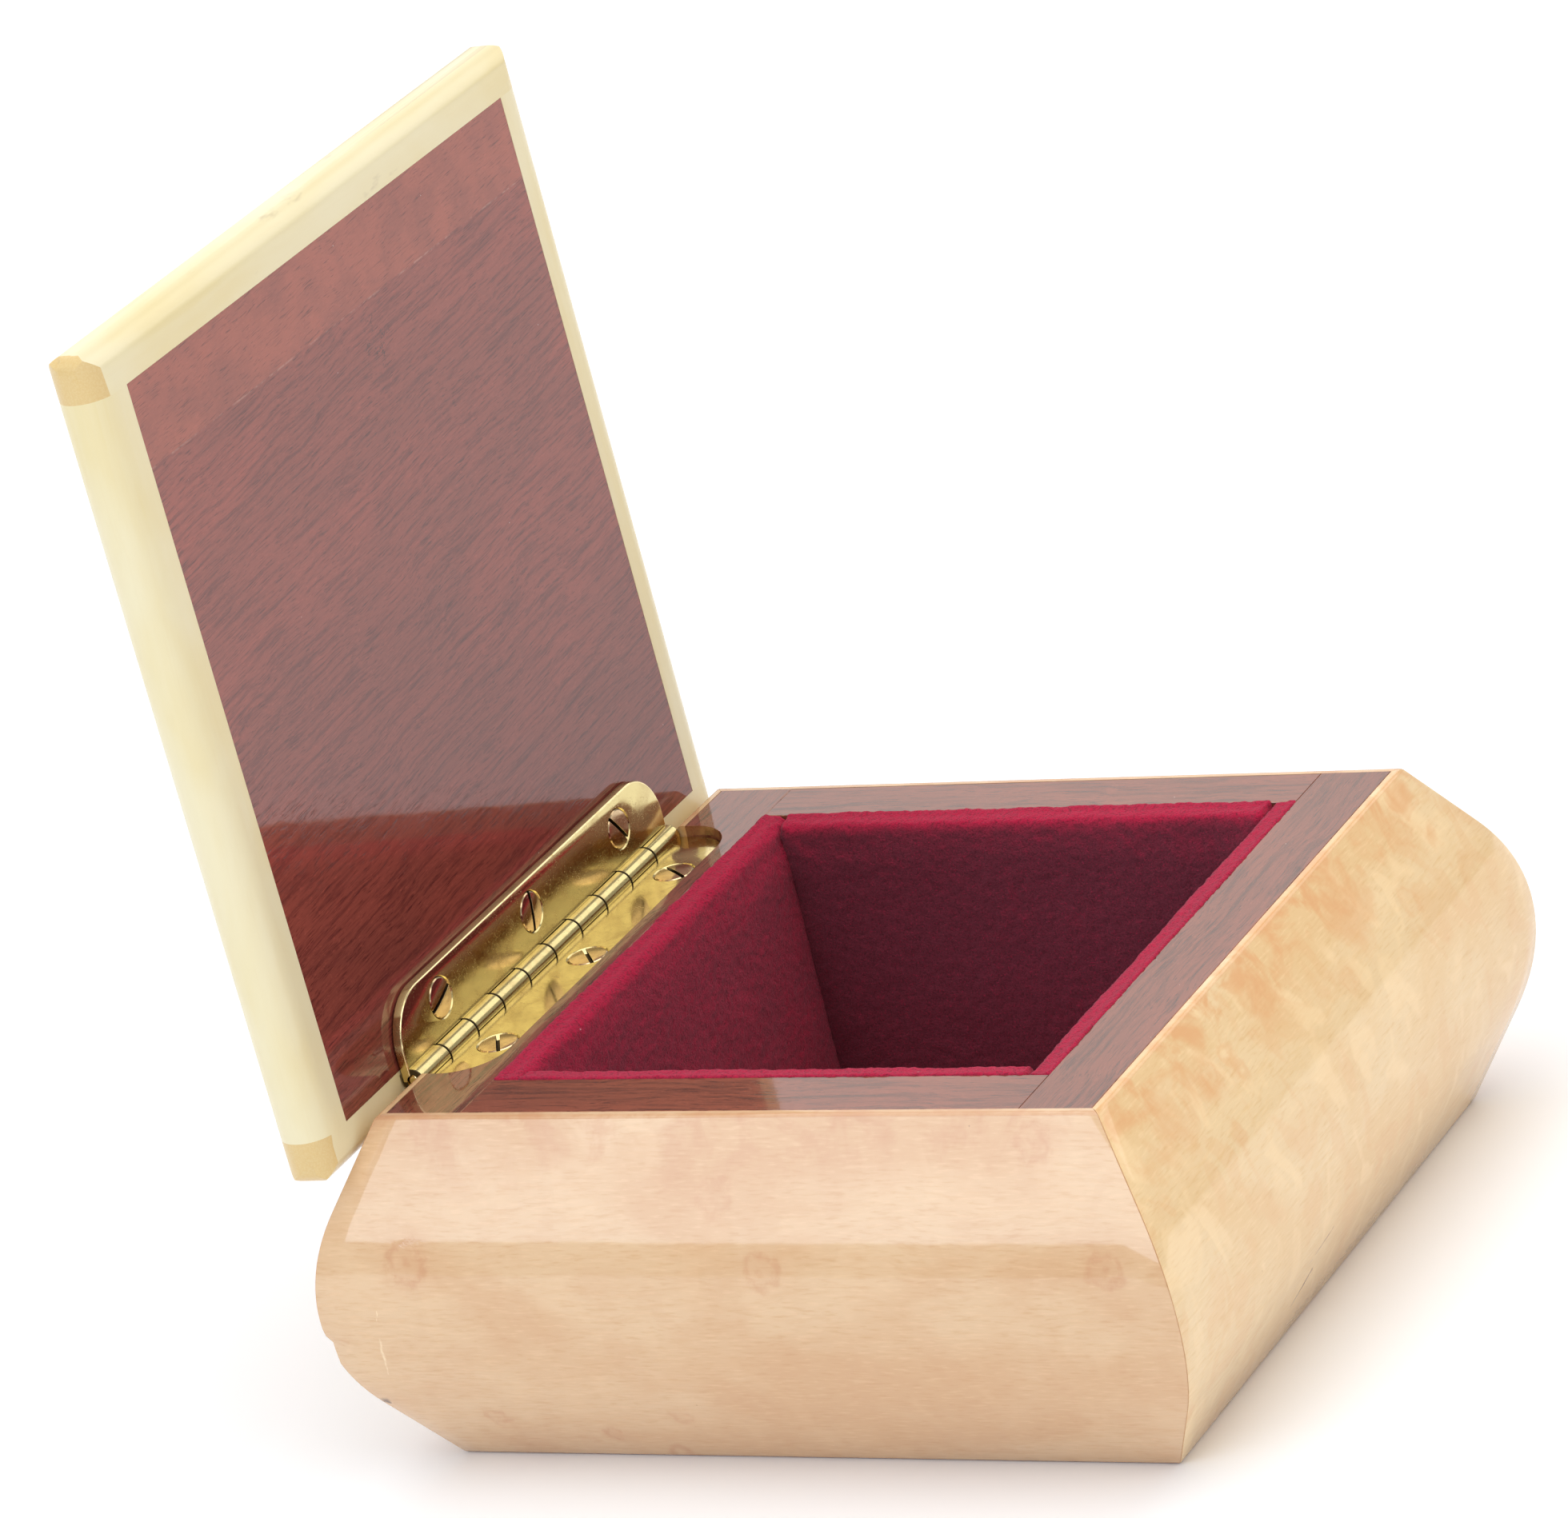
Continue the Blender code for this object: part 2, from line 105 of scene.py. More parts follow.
class Side(Enum):
    """A side of the box, with the direction that it faces."""

    LEFT = (-1, 0)
    RIGHT = (1, 0)
    FRONT = (0, -1)
    BACK = (0, 1)

    @property
    def label(self) -> str:
        """The word that starts the side's node names."""
        return self.name.lower()

    @property
    def outward(self) -> Vector:
        """The unit vector that the side faces."""
        return Vector((*self.value, 0))

    @property
    def axis(self) -> int:
        """0 where the side faces along X, 1 where it faces along Y."""
        return 0 if self.value[0] else 1

    @property
    def sign(self) -> int:
        """The side's direction along its own axis."""
        return self.value[0] or self.value[1]


# ---------------------------------------------------------------- mesh work


def block(low: Sequence[float], high: Sequence[float]) -> bmesh.types.BMesh:
    """Make a box between two corners.

    Args:
        low: Its lowest corner.
        high: Its highest corner.

    Returns:
        A new mesh, with the face attribute for eased edges.
    """
    low, high = Vector(low), Vector(high)
    bm = bmesh.new()
    bm.faces.layers.float.new(EDGE)
    bmesh.ops.create_cube(bm, size=1.0)
    bmesh.ops.scale(bm, vec=high - low, verts=bm.verts)
    bmesh.ops.translate(bm, vec=(high + low) / 2, verts=bm.verts)
    return bm


def rod(radius: float, length: float, middle: float = 0.0, segments: int = 48) -> bmesh.types.BMesh:
    """Make a closed cylinder along Y.

    Args:
        radius: Its radius.
        length: Its length.
        middle: Where its middle lies along Y.
        segments: How many sides it has.

    Returns:
        A new mesh.
    """
    bm = bmesh.new()
    bm.faces.layers.float.new(EDGE)
    turn = Matrix.Translation((0, middle, 0)) @ Matrix.Rotation(math.pi / 2, 4, "X")
    bmesh.ops.create_cone(
        bm, cap_ends=True, segments=segments, radius1=radius, radius2=radius,
        depth=length, matrix=turn,
    )
    return bm


def edges_where(
    bm: bmesh.types.BMesh, test: Callable[[Vector], bool],
) -> list[bmesh.types.BMEdge]:
    """List the edges whose two ends both pass a test of their place."""
    return [e for e in bm.edges if all(test(v.co) for v in e.verts)]


def near(value: float, target: float) -> bool:
    """Say whether two lengths are the same, within a micron."""
    return abs(value - target) < 1e-6


def level(edge: bmesh.types.BMEdge, axis: int) -> bool:
    """Say whether an edge's two ends lie at the same place along an axis."""
    return near(edge.verts[0].co[axis], edge.verts[1].co[axis])


def sharp(edge: bmesh.types.BMEdge, angle: float) -> bool:
    """Say whether an edge's two faces meet at more than an angle in radians."""
    return edge.is_manifold and edge.calc_face_angle(0) > angle


def ease(
    bm: bmesh.types.BMesh, edges: Sequence[bmesh.types.BMEdge], width: float, segments: int = 2,
    worn: bool = True,
) -> None:
    """Round some edges over and mark the new faces as eased.

    Args:
        bm: The mesh.
        edges: The edges to round.
        width: How far the rounding reaches from each edge.
        segments: How many faces each rounding has.
        worn: Whether the new faces take the eased mark.
    """
    made = bmesh.ops.bevel(
        bm, geom=list(edges), offset=width, offset_type="OFFSET", segments=segments,
        profile=0.5, affect="EDGES", clamp_overlap=True, material=-1,
    )
    mark = bm.faces.layers.float.get(EDGE)
    if worn and mark:
        for face in made["faces"]:
            face[mark] = 1.0


def mark_dirt_and_shade(bm: bmesh.types.BMesh, faces: Iterable[bmesh.types.BMFace]) -> None:
    """Mark faces as lying deep, where dirt gathers and shade is painted dark.

    Args:
        bm: The mesh.
        faces: The faces to mark.
    """
    mark = bm.faces.layers.float.get(EDGE)
    for face in faces:
        face[mark] = -1.0


def scratch_object(bm: bmesh.types.BMesh) -> bpy.types.Object:
    """Put a mesh in the scene for a modifier to work on, and empty the bmesh.

    Args:
        bm: The mesh, which this frees.

    Returns:
        The new object.
    """
    mesh = bpy.data.meshes.new("scratch")
    bm.to_mesh(mesh)
    bm.free()
    made = bpy.data.objects.new("scratch", mesh)
    bpy.context.scene.collection.objects.link(made)
    return made


def take_result(obj: bpy.types.Object, *others: bpy.types.Object) -> bmesh.types.BMesh:
    """Read an object's mesh with its modifiers applied, and remove it and its helpers.

    Args:
        obj: The object with the modifiers.
        *others: The helpers that its modifiers use.

    Returns:
        The shaped mesh.
    """
    bpy.context.view_layer.update()
    graph = bpy.context.evaluated_depsgraph_get()
    shaped = obj.evaluated_get(graph)
    mesh = shaped.to_mesh()
    bm = bmesh.new()
    bm.from_mesh(mesh)
    shaped.to_mesh_clear()
    for old in (obj, *others):
        data = old.data
        bpy.data.objects.remove(old)
        bpy.data.meshes.remove(data)
    return bm


def carve(
    bm: bmesh.types.BMesh, tools: Iterable[bmesh.types.BMesh], operation: str = "DIFFERENCE",
) -> bmesh.types.BMesh:
    """Cut, join or intersect a mesh with others, which this empties.

    Args:
        bm: The mesh to work on.
        tools: The closed meshes to work with.
        operation: A Boolean modifier's operation.

    Returns:
        The worked mesh.
    """
    target = scratch_object(bm)
    helpers = [scratch_object(tool) for tool in tools]
    for helper in helpers:
        step = target.modifiers.new("carve", "BOOLEAN")
        step.operation, step.object, step.solver = operation, helper, "EXACT"
    return take_result(target, *helpers)


def turned(outline: Sequence[tuple[float, float]], steps: int = 48) -> bmesh.types.BMesh:
    """Spin a half section of (radius, height) pairs into a closed solid about Z.

    Args:
        outline: The section's points, from the top on the axis to the foot on the axis.
        steps: How many steps the full spin has.

    Returns:
        A new mesh.
    """
    bm = bmesh.new()
    bm.faces.layers.float.new(EDGE)
    verts = [bm.verts.new((radius, 0, height)) for radius, height in outline]
    for start, end in zip(verts, verts[1:]):
        bm.edges.new((start, end))
    bmesh.ops.spin(
        bm, geom=list(bm.verts) + list(bm.edges), cent=(0, 0, 0), axis=(0, 0, 1),
        angle=2 * math.pi, steps=steps, use_merge=True,
    )
    bmesh.ops.remove_doubles(bm, verts=bm.verts, dist=1e-6)
    bmesh.ops.recalc_face_normals(bm, faces=bm.faces)
    return bm


def moved(bm: bmesh.types.BMesh, matrix: Matrix) -> bmesh.types.BMesh:
    """Put a mesh through a matrix, and turn its faces outwards again.

    Args:
        bm: The mesh.
        matrix: Where it goes, which may mirror it.

    Returns:
        The same mesh.
    """
    bmesh.ops.transform(bm, matrix=matrix, verts=bm.verts)
    if matrix.determinant() < 0:
        bmesh.ops.reverse_faces(bm, faces=bm.faces)
    return bm


# ---------------------------------------------------------------- shader work


class Graph:
    """Shorthand for adding and linking the nodes of one tree."""

    def __init__(self, tree: bpy.types.NodeTree) -> None:
        """Start on a tree."""
        self.tree = tree

    def add(self, kind: str, inputs: dict | None = None, **settings: object) -> bpy.types.Node:
        """Add a node.

        Args:
            kind: Its type, without the ShaderNode prefix.
            inputs: Values or sockets by input name or number.
            **settings: The node's own settings.

        Returns:
            The new node.
        """
        node = self.tree.nodes.new("ShaderNode" + kind)
        for name, value in settings.items():
            setattr(node, name, value)
        for name, value in (inputs or {}).items():
            self.feed(node.inputs[name], value)
        return node

    def feed(self, socket: Socket, value: object) -> None:
        """Link a socket to another, or set its value.

        Args:
            socket: The input to fill.
            value: Another socket, a colour, a vector or a number.
        """
        if isinstance(value, bpy.types.NodeSocket):
            self.tree.links.new(value, socket)
        elif isinstance(value, tuple) and socket.type == "RGBA":
            socket.default_value = (*value, 1.0)
        else:
            socket.default_value = value

    def sum(self, operation: str, *values: object, clamp: bool = False) -> Socket:
        """Work out one number from others."""
        node = self.add("Math", dict(enumerate(values)), operation=operation, use_clamp=clamp)
        return node.outputs[0]

    def vector(self, operation: str, *values: object) -> Socket:
        """Work out one vector from others."""
        node = self.add("VectorMath", dict(enumerate(values)), operation=operation)
        return node.outputs[0]

    def scaled(self, vector: Socket, factor: object) -> Socket:
        """Multiply a vector by a number."""
        node = self.add("VectorMath", {0: vector, "Scale": factor}, operation="SCALE")
        return node.outputs[0]

    def step(self, value: object, low: object, high: object) -> Socket:
        """Rise smoothly from 0 at low to 1 at high.

        Args:
            value: What is compared.
            low: Where the rise starts.
            high: Where it ends.

        Returns:
            The share from 0 to 1.
        """
        node = self.add(
            "MapRange", {"Value": value, "From Min": low, "From Max": high},
            interpolation_type="SMOOTHSTEP",
        )
        return node.outputs[0]

    def fall(self, value: object, low: object, high: object) -> Socket:
        """Fall smoothly from 1 at low to 0 at high."""
        return self.sum("SUBTRACT", 1.0, self.step(value, low, high))

    def times(self, *values: object) -> Socket:
        """Multiply two numbers."""
        return self.sum("MULTIPLY", *values)

    def lay(self, colour: object, over: object, mask: object, amount: object) -> Socket:
        """Lay one colour over another where a mask, taken by an amount, says."""
        return self.mix(self.times(mask, amount), colour, over)

    def apart(self, first: object, second: object) -> Socket:
        """Measure the distance between two places."""
        node = self.add("VectorMath", {0: first, 1: second}, operation="DISTANCE")
        return node.outputs["Value"]

    def dot(self, first: object, second: object) -> Socket:
        """Work out the dot product of two vectors."""
        node = self.add("VectorMath", {0: first, 1: second}, operation="DOT_PRODUCT")
        return node.outputs["Value"]

    def part(self, vector: Socket, axis: int) -> Socket:
        """Read one part of a vector."""
        return self.add("SeparateXYZ", {0: vector}).outputs[axis]

    def edge(self) -> Socket:
        """Read the face attribute of eased edges and of hollows with dirt and painted shade."""
        return self.add("Attribute", attribute_name=EDGE).outputs["Fac"]

    def mix(self, share: object, first: object, second: object, blend: str = "MIX") -> Socket:
        """Mix two colours.

        Args:
            share: The second colour's share.
            first: The colour at 0.
            second: The colour at 1.
            blend: How the second is blended with the first.

        Returns:
            The mixed colour.
        """
        node = self.add("Mix", data_type="RGBA", blend_type=blend, clamp_factor=True)
        for index, value in ((0, share), (6, first), (7, second)):
            self.feed(node.inputs[index], value)
        return node.outputs[2]

    def noise(
        self, vector: Socket, scale: object, detail: float = 2.0, roughness: float = 0.5,
        distortion: float = 0.0,
    ) -> Socket:
        """Read noise from 0 to 1 at a place.

        Args:
            vector: The place.
            scale: How many lumps to a unit.
            detail: How many finer layers it has.
            roughness: How strong the finer layers are.
            distortion: How far it is bent.

        Returns:
            The noise.
        """
        values = {
            "Vector": vector, "Scale": scale, "Detail": detail,
            "Roughness": roughness, "Distortion": distortion,
        }
        return self.add("TexNoise", values).outputs[0]

    def shaken(self, vector: Socket, scale: float, reach: float) -> Socket:
        """Push places about, so that a plain shape in them wavers.

        Args:
            vector: The places.
            scale: How many lumps to a unit the push has.
            reach: How far it pushes.

        Returns:
            The pushed places.
        """
        push = self.add("TexNoise", {"Vector": vector, "Scale": scale, "Detail": 3.0})
        centred = self.vector("SUBTRACT", push.outputs["Color"], (0.5, 0.5, 0.5))
        return self.vector("ADD", vector, self.scaled(centred, reach))

    def place(self, turn: Sequence[float] = (0, 0, 0)) -> Socket:
        """Read the object's own coordinates in millimetres.

        Args:
            turn: Degrees about X, Y and Z that the pattern's own axes are turned by.

        Returns:
            The pattern's coordinates.
        """
        where = self.add("TexCoord").outputs["Object"]
        node = self.add(
            "Mapping", {
                "Vector": where, "Rotation": tuple(math.radians(a) for a in turn),
                "Scale": (MM, MM, MM),
            }, vector_type="TEXTURE",
        )
        return node.outputs[0]

    def use(self, group: bpy.types.NodeTree, **inputs: object) -> bpy.types.Node:
        """Place a node group, with its inputs by name, underscores for spaces.

        Args:
            group: The group.
            **inputs: Values or sockets for its inputs.

        Returns:
            The group's node.
        """
        node = self.tree.nodes.new("ShaderNodeGroup")
        node.node_tree = group
        for name, value in inputs.items():
            self.feed(node.inputs[name.replace("_", " ")], value)
        return node


def new_group(
    name: str, inputs: dict[str, object], outputs: Sequence[str],
) -> tuple[Graph, dict[str, Socket], bpy.types.Node]:
    """Start a shader node group.

    Args:
        name: Its name.
        inputs: Its inputs, with a starting number each, or None for a vector.
        outputs: The names of the numbers that it puts out.

    Returns:
        Its graph, its inputs as sockets by name, and its output node.
    """
    tree = bpy.data.node_groups.new(name, "ShaderNodeTree")
    for label, value in inputs.items():
        kind = "NodeSocketVector" if value is None else "NodeSocketFloat"
        made = tree.interface.new_socket(label, in_out="INPUT", socket_type=kind)
        if value is not None:
            made.default_value = value
    for label in outputs:
        tree.interface.new_socket(label, in_out="OUTPUT", socket_type="NodeSocketFloat")
    source = tree.nodes.new("NodeGroupInput")
    given = {label: source.outputs[label] for label in inputs}
    return Graph(tree), given, tree.nodes.new("NodeGroupOutput")


@cache
def wood_grain() -> bpy.types.NodeTree:
    """Build the grain of a board that runs along X: streaks, short pores and slow clouds.

    Returns:
        The node group.
    """
    graph, given, out = new_group(
        "Wood Grain", {"Vector": None, "Length": 14.0, "Fineness": 1.0, "Wander": 0.6},
        ("Streaks", "Pores", "Cloud"),
    )
    drift = graph.sum("SUBTRACT", graph.noise(given["Vector"], 0.07, 2), 0.5)
    offset = graph.times(drift, graph.times(given["Wander"], 8.0))
    bent = graph.vector(
        "ADD", given["Vector"], graph.add("CombineXYZ", {1: offset, 2: offset}).outputs[0],
    )
    squeeze = graph.sum("DIVIDE", 1.0, given["Length"])
    long = graph.vector(
        "MULTIPLY", bent, graph.add("CombineXYZ", {0: squeeze, 1: 1, 2: 1}).outputs[0],
    )
    streaks = graph.noise(long, graph.times(given["Fineness"], 1.1), 5, 0.62)
    fine = graph.noise(long, graph.times(given["Fineness"], 4.4), 2, 0.55)
    slow = graph.vector("MULTIPLY", bent, (0.35, 1.0, 1.0))
    graph.feed(out.inputs["Streaks"], streaks)
    graph.feed(out.inputs["Pores"], graph.step(fine, 0.55, 0.72))
    graph.feed(out.inputs["Cloud"], graph.noise(slow, 0.09, 3, 0.55, 0.4))
    return graph.tree


@cache
def birds_eyes() -> bpy.types.NodeTree:
    """Build scattered eyes: a swirled ring round a pale middle.

    Returns:
        The node group.
    """
    graph, given, out = new_group(
        "Bird's Eyes", {"Vector": None, "Spacing": 13.0, "Share": 0.5, "Size": 1.6},
        ("Ring", "Middle", "Relief"),
    )
    cells = graph.add(
        "TexVoronoi", {
            "Vector": graph.shaken(given["Vector"], 0.32, 3.2),
            "Scale": graph.sum("DIVIDE", 1.0, given["Spacing"]), "Randomness": 0.9,
        },
    )
    reach = graph.times(cells.outputs["Distance"], given["Spacing"])
    lot = graph.add("SeparateColor", {0: cells.outputs["Color"]}).outputs[0]
    there = graph.sum("LESS_THAN", lot, given["Share"])
    off = graph.sum("ABSOLUTE", graph.sum("SUBTRACT", reach, given["Size"]))
    ring = graph.fall(off, 0.1, graph.times(given["Size"], 0.75))
    middle = graph.fall(reach, 0.2, given["Size"])
    halo = graph.fall(reach, 0.5, graph.times(given["Size"], 3.0))
    graph.feed(out.inputs["Ring"], graph.times(ring, there))
    graph.feed(out.inputs["Middle"], graph.times(middle, there))
    graph.feed(out.inputs["Relief"], graph.times(halo, there))
    return graph.tree


@cache
def lone_eye() -> bpy.types.NodeTree:
    """Build one eye at a given place in millimetres: a broken ring round a small knot.

    Returns:
        The node group.
    """
    graph, given, out = new_group(
        "Lone Eye", {"Vector": None, "Place": None, "Radius": 1.6}, ("Ring", "Halo"),
    )
    here = graph.shaken(given["Vector"], 0.55, 2.6)
    reach = graph.apart(here, given["Place"])
    off = graph.sum("ABSOLUTE", graph.sum("SUBTRACT", reach, given["Radius"]))
    line = graph.fall(off, 0.05, graph.times(given["Radius"], 0.5))
    broken = graph.step(graph.noise(given["Vector"], 0.7, 3, 0.7), 0.3, 0.62)
    knot = graph.fall(reach, 0.1, graph.times(given["Radius"], 0.4))
    ring = graph.sum("MAXIMUM", graph.times(line, broken), graph.times(knot, 0.7))
    halo = graph.fall(reach, 0.3, graph.times(given["Radius"], 2.6))
    graph.feed(out.inputs["Ring"], ring)
    graph.feed(out.inputs["Halo"], halo)
    return graph.tree


@cache
def hairline() -> bpy.types.NodeTree:
    """Build a wavering crack between two points in millimetres.

    Returns:
        The node group.
    """
    graph, given, out = new_group(
        "Hairline", {"Vector": None, "Start": None, "End": None, "Width": 0.2}, ("Mask",),
    )
    here = graph.vector("SUBTRACT", graph.shaken(given["Vector"], 0.9, 0.7), given["Start"])
    along = graph.vector("SUBTRACT", given["End"], given["Start"])
    dot = graph.dot(here, along)
    square = graph.dot(along, along)
    share = graph.sum("DIVIDE", dot, square, clamp=True)
    gap = graph.apart(here, graph.scaled(along, share))
    taper = graph.sum("SUBTRACT", 1.25, share)
    wide = graph.times(given["Width"], taper)
    graph.feed(out.inputs["Mask"], graph.fall(gap, 0.0, wide))
    return graph.tree


@cache
def worn_edges() -> bpy.types.NodeTree:
    """Build wear that comes and goes along the eased edges.

    Returns:
        The node group.
    """
    graph, given, out = new_group(
        "Worn Edges", {"Vector": None, "Edge": 0.0, "Amount": 0.5}, ("Mask",),
    )
    broken = graph.noise(given["Vector"], 0.8, 4, 0.65)
    start = graph.sum("SUBTRACT", 0.75, graph.times(given["Amount"], 0.5))
    found = graph.step(broken, start, graph.sum("ADD", start, 0.16))
    graph.feed(out.inputs["Mask"], graph.times(found, given["Edge"]))
    return graph.tree


@cache
def scratches() -> bpy.types.NodeTree:
    """Build fine straight scratches in two directions.

    Returns:
        The node group.
    """
    graph, given, out = new_group("Scratches", {"Vector": None, "Amount": 0.5}, ("Mask",))
    found = []
    for angle in (0.5, -0.9):
        turn = graph.add(
            "VectorRotate", {"Vector": given["Vector"], "Angle": angle, "Axis": (0.3, 0.2, 1.0)},
        ).outputs[0]
        thin = graph.noise(graph.vector("MULTIPLY", turn, (0.12, 6.0, 6.0)), 1.0, 1)
        start = graph.sum("SUBTRACT", 0.78, graph.times(given["Amount"], 0.16))
        found.append(graph.step(thin, start, graph.sum("ADD", start, 0.05)))
    graph.feed(out.inputs["Mask"], graph.sum("MAXIMUM", *found))
    return graph.tree


@cache
def specks() -> bpy.types.NodeTree:
    """Build small round specks, some cells with one and some without.

    Returns:
        The node group.
    """
    graph, given, out = new_group(
        "Specks", {"Vector": None, "Spacing": 2.0, "Share": 0.3, "Size": 0.12}, ("Mask",),
    )
    cells = graph.add(
        "TexVoronoi", {
            "Vector": given["Vector"], "Scale": graph.sum("DIVIDE", 1.0, given["Spacing"]),
        },
    )
    lot = graph.add("SeparateColor", {0: cells.outputs["Color"]}).outputs[1]
    there = graph.sum("LESS_THAN", lot, given["Share"])
    reach = graph.times(cells.outputs["Distance"], given["Spacing"])
    dot = graph.fall(reach, graph.times(given["Size"], 0.5), given["Size"])
    graph.feed(out.inputs["Mask"], graph.times(dot, there))
    return graph.tree


# ---------------------------------------------------------------- finishes


class Finish:
    """A surface finish, which makes its material once."""

    name: str

    def material(self) -> bpy.types.Material:
        """Make the material, or find the one made before.

        Returns:
            The material.
        """
        made = bpy.data.materials.get(self.name)
        if made is None:
            made = bpy.data.materials.new(self.name)
            made.use_nodes = True
            made.node_tree.nodes.clear()
            graph = Graph(made.node_tree)
            shader = graph.add("BsdfPrincipled")
            graph.add("OutputMaterial", {"Surface": shader.outputs[0]})
            self.shade(graph, shader)
        return made

    def shade(self, graph: Graph, shader: bpy.types.Node) -> None:
        """Fill in the material's nodes."""
        raise NotImplementedError

    @staticmethod
    def relief(
        graph: Graph, shader: bpy.types.Node, height: Socket, depth: float, strength: float,
    ) -> None:
        """Raise the surface by a height from 0 to 1 over a depth in metres.

        Args:
            graph: The material's graph.
            shader: Its shader.
            height: The height.
            depth: How deep a height of 1 is, in metres.
            strength: The bump's strength.
        """
        bump = graph.add("Bump", {"Height": height, "Distance": depth, "Strength": strength})
        graph.feed(shader.inputs["Normal"], bump.outputs["Normal"])


@dataclass(frozen=True)
class Crack:
    """A hairline in the wood, in millimetres, which is dark, or pale where it was filled."""

    start: tuple[float, float, float]
    end: tuple[float, float, float]
    width: float
    colour: Colour


@dataclass(frozen=True)
class Eye:
    """One bird's eye at a place in millimetres."""

    place: tuple[float, float, float]
    radius: float
    depth: float = 0.4


@dataclass(frozen=True)
class MapleFinish(Finish):
    """Lacquered bird's-eye maple. The grain runs along the pattern's own X."""

    name: str
    pale: Colour
    warm: Colour
    flame: Colour
    turn: tuple[float, float, float] = (0, 0, 0)
    eye_spacing: float = 13.0
    eye_share: float = 0.5
    eye_size: float = 1.6
    # how strong the curl is, in its bump and in its painted highlight and shadow
    quilt: float = 0.3
    flame_from: float = 30.0
    flame_share: float = 0.5
    eyes: tuple[Eye, ...] = ()
    cracks: tuple[Crack, ...] = ()

    def shade(self, graph: Graph, shader: bpy.types.Node) -> None:
        """Lay clouds, grain, curl with painted highlight and shadow, eyes, flame and cracks over
        each other.

        Args:
            graph: The material's graph.
            shader: Its shader.
        """
        plain, board = graph.place(), graph.place(self.turn)
        deep = tuple(c * k for c, k in zip(self.warm, (0.86, 0.74, 0.62)))
        light = tuple(min(1.0, c * 1.15) for c in self.pale)
        grain = graph.use(wood_grain(), Vector=board, Length=7.0, Fineness=1.5, Wander=0.4)
        slow = graph.noise(graph.vector("MULTIPLY", board, (0.5, 1.0, 1.0)), 0.075, 3, 0.55, 0.5)
        colour = graph.mix(graph.step(slow, 0.36, 0.66), self.pale, self.warm)
        streak = graph.times(graph.step(grain.outputs["Streaks"], 0.44, 0.72), 0.6)
        colour = graph.mix(streak, colour, self.warm)
        fibre = graph.noise(graph.vector("MULTIPLY", board, (0.45, 3.4, 3.4)), 1.0, 2, 0.5)
        colour = graph.lay(colour, deep, graph.step(fibre, 0.54, 0.74), 0.34)
        colour = graph.lay(colour, light, graph.step(fibre, 0.46, 0.28), 0.3)
        curl = graph.noise(graph.vector("MULTIPLY", board, (1.15, 0.75, 0.75)), 0.17, 2, 0.5, 0.5)
        # quilted figure plus a painted highlight on the curl's raised parts and a painted shadow in
        # its hollows, following the curl bump below
        crest_highlight = graph.times(graph.step(curl, 0.54, 0.66), self.quilt)
        colour = graph.mix(crest_highlight, colour, light)
        dip_shadow = graph.times(graph.step(curl, 0.46, 0.38), self.quilt)
        colour = graph.lay(colour, self.flame, dip_shadow, 0.45)

        around = graph.use(
            birds_eyes(), Vector=board, Spacing=self.eye_spacing, Share=self.eye_share,
            Size=self.eye_size,
        )
        ring = graph.times(around.outputs["Ring"], 0.34)
        colour = graph.mix(ring, colour, self.flame)
        colour = graph.lay(colour, light, around.outputs["Middle"], 0.3)
        relief = around.outputs["Relief"]
        for eye in self.eyes:
            one = graph.use(lone_eye(), Vector=plain, Place=eye.place, Radius=eye.radius)
            colour = graph.lay(colour, self.flame, one.outputs["Halo"], eye.depth * 0.45)
            colour = graph.lay(colour, self.flame, one.outputs["Ring"], eye.depth * 0.75)
            relief = graph.sum("MAXIMUM", relief, one.outputs["Ring"])

        height = graph.part(plain, 2)
        ragged = graph.sum("MULTIPLY_ADD", graph.noise(plain, 0.25, 4, 0.6), 9.0, height)
        patch = graph.step(graph.noise(board, 0.14, 4, 0.6, 0.5), 0.46, 0.62)
        rise = graph.step(ragged, self.flame_from + 3, self.flame_from + 15)
        rise = graph.times(graph.times(patch, rise), self.flame_share)
        colour = graph.mix(rise, colour, self.flame)
        edge = graph.edge()
        colour = graph.lay(colour, self.flame, edge, 0.3)
        worn = graph.use(worn_edges(), Vector=plain, Edge=edge, Amount=0.6).outputs[0]
        colour = graph.lay(colour, deep, worn, 0.35)
        dot = graph.use(specks(), Vector=board, Spacing=4.0, Share=0.3, Size=0.13).outputs[0]
        colour = graph.lay(colour, tuple(c * 0.4 for c in self.flame), dot, 0.4)
        for crack in self.cracks:
            line = graph.use(
                hairline(), Vector=plain, Start=crack.start, End=crack.end, Width=crack.width,
            ).outputs[0]
            colour = graph.mix(line, colour, crack.colour)
        graph.feed(shader.inputs["Base Color"], colour)

        wave = graph.sum(
            "MULTIPLY_ADD", graph.noise(plain, 0.10, 2, 0.5), 0.6, graph.times(relief, -0.12),
        )
        wave = graph.sum("MULTIPLY_ADD", curl, 0.3 * self.quilt, wave)
        orange_peel = graph.sum("MULTIPLY_ADD", graph.noise(plain, 1.1, 2), 0.025, wave)
        self.relief(graph, shader, orange_peel, 0.2 * MM, 0.5)
        scuff = graph.use(scratches(), Vector=plain, Amount=0.25).outputs[0]
        rough = graph.sum("MULTIPLY_ADD", graph.noise(plain, 0.5, 3), 0.05, 0.05)
        graph.feed(shader.inputs["Roughness"], graph.sum("MULTIPLY_ADD", scuff, 0.12, rough))
        shader.inputs["IOR"].default_value = 1.58


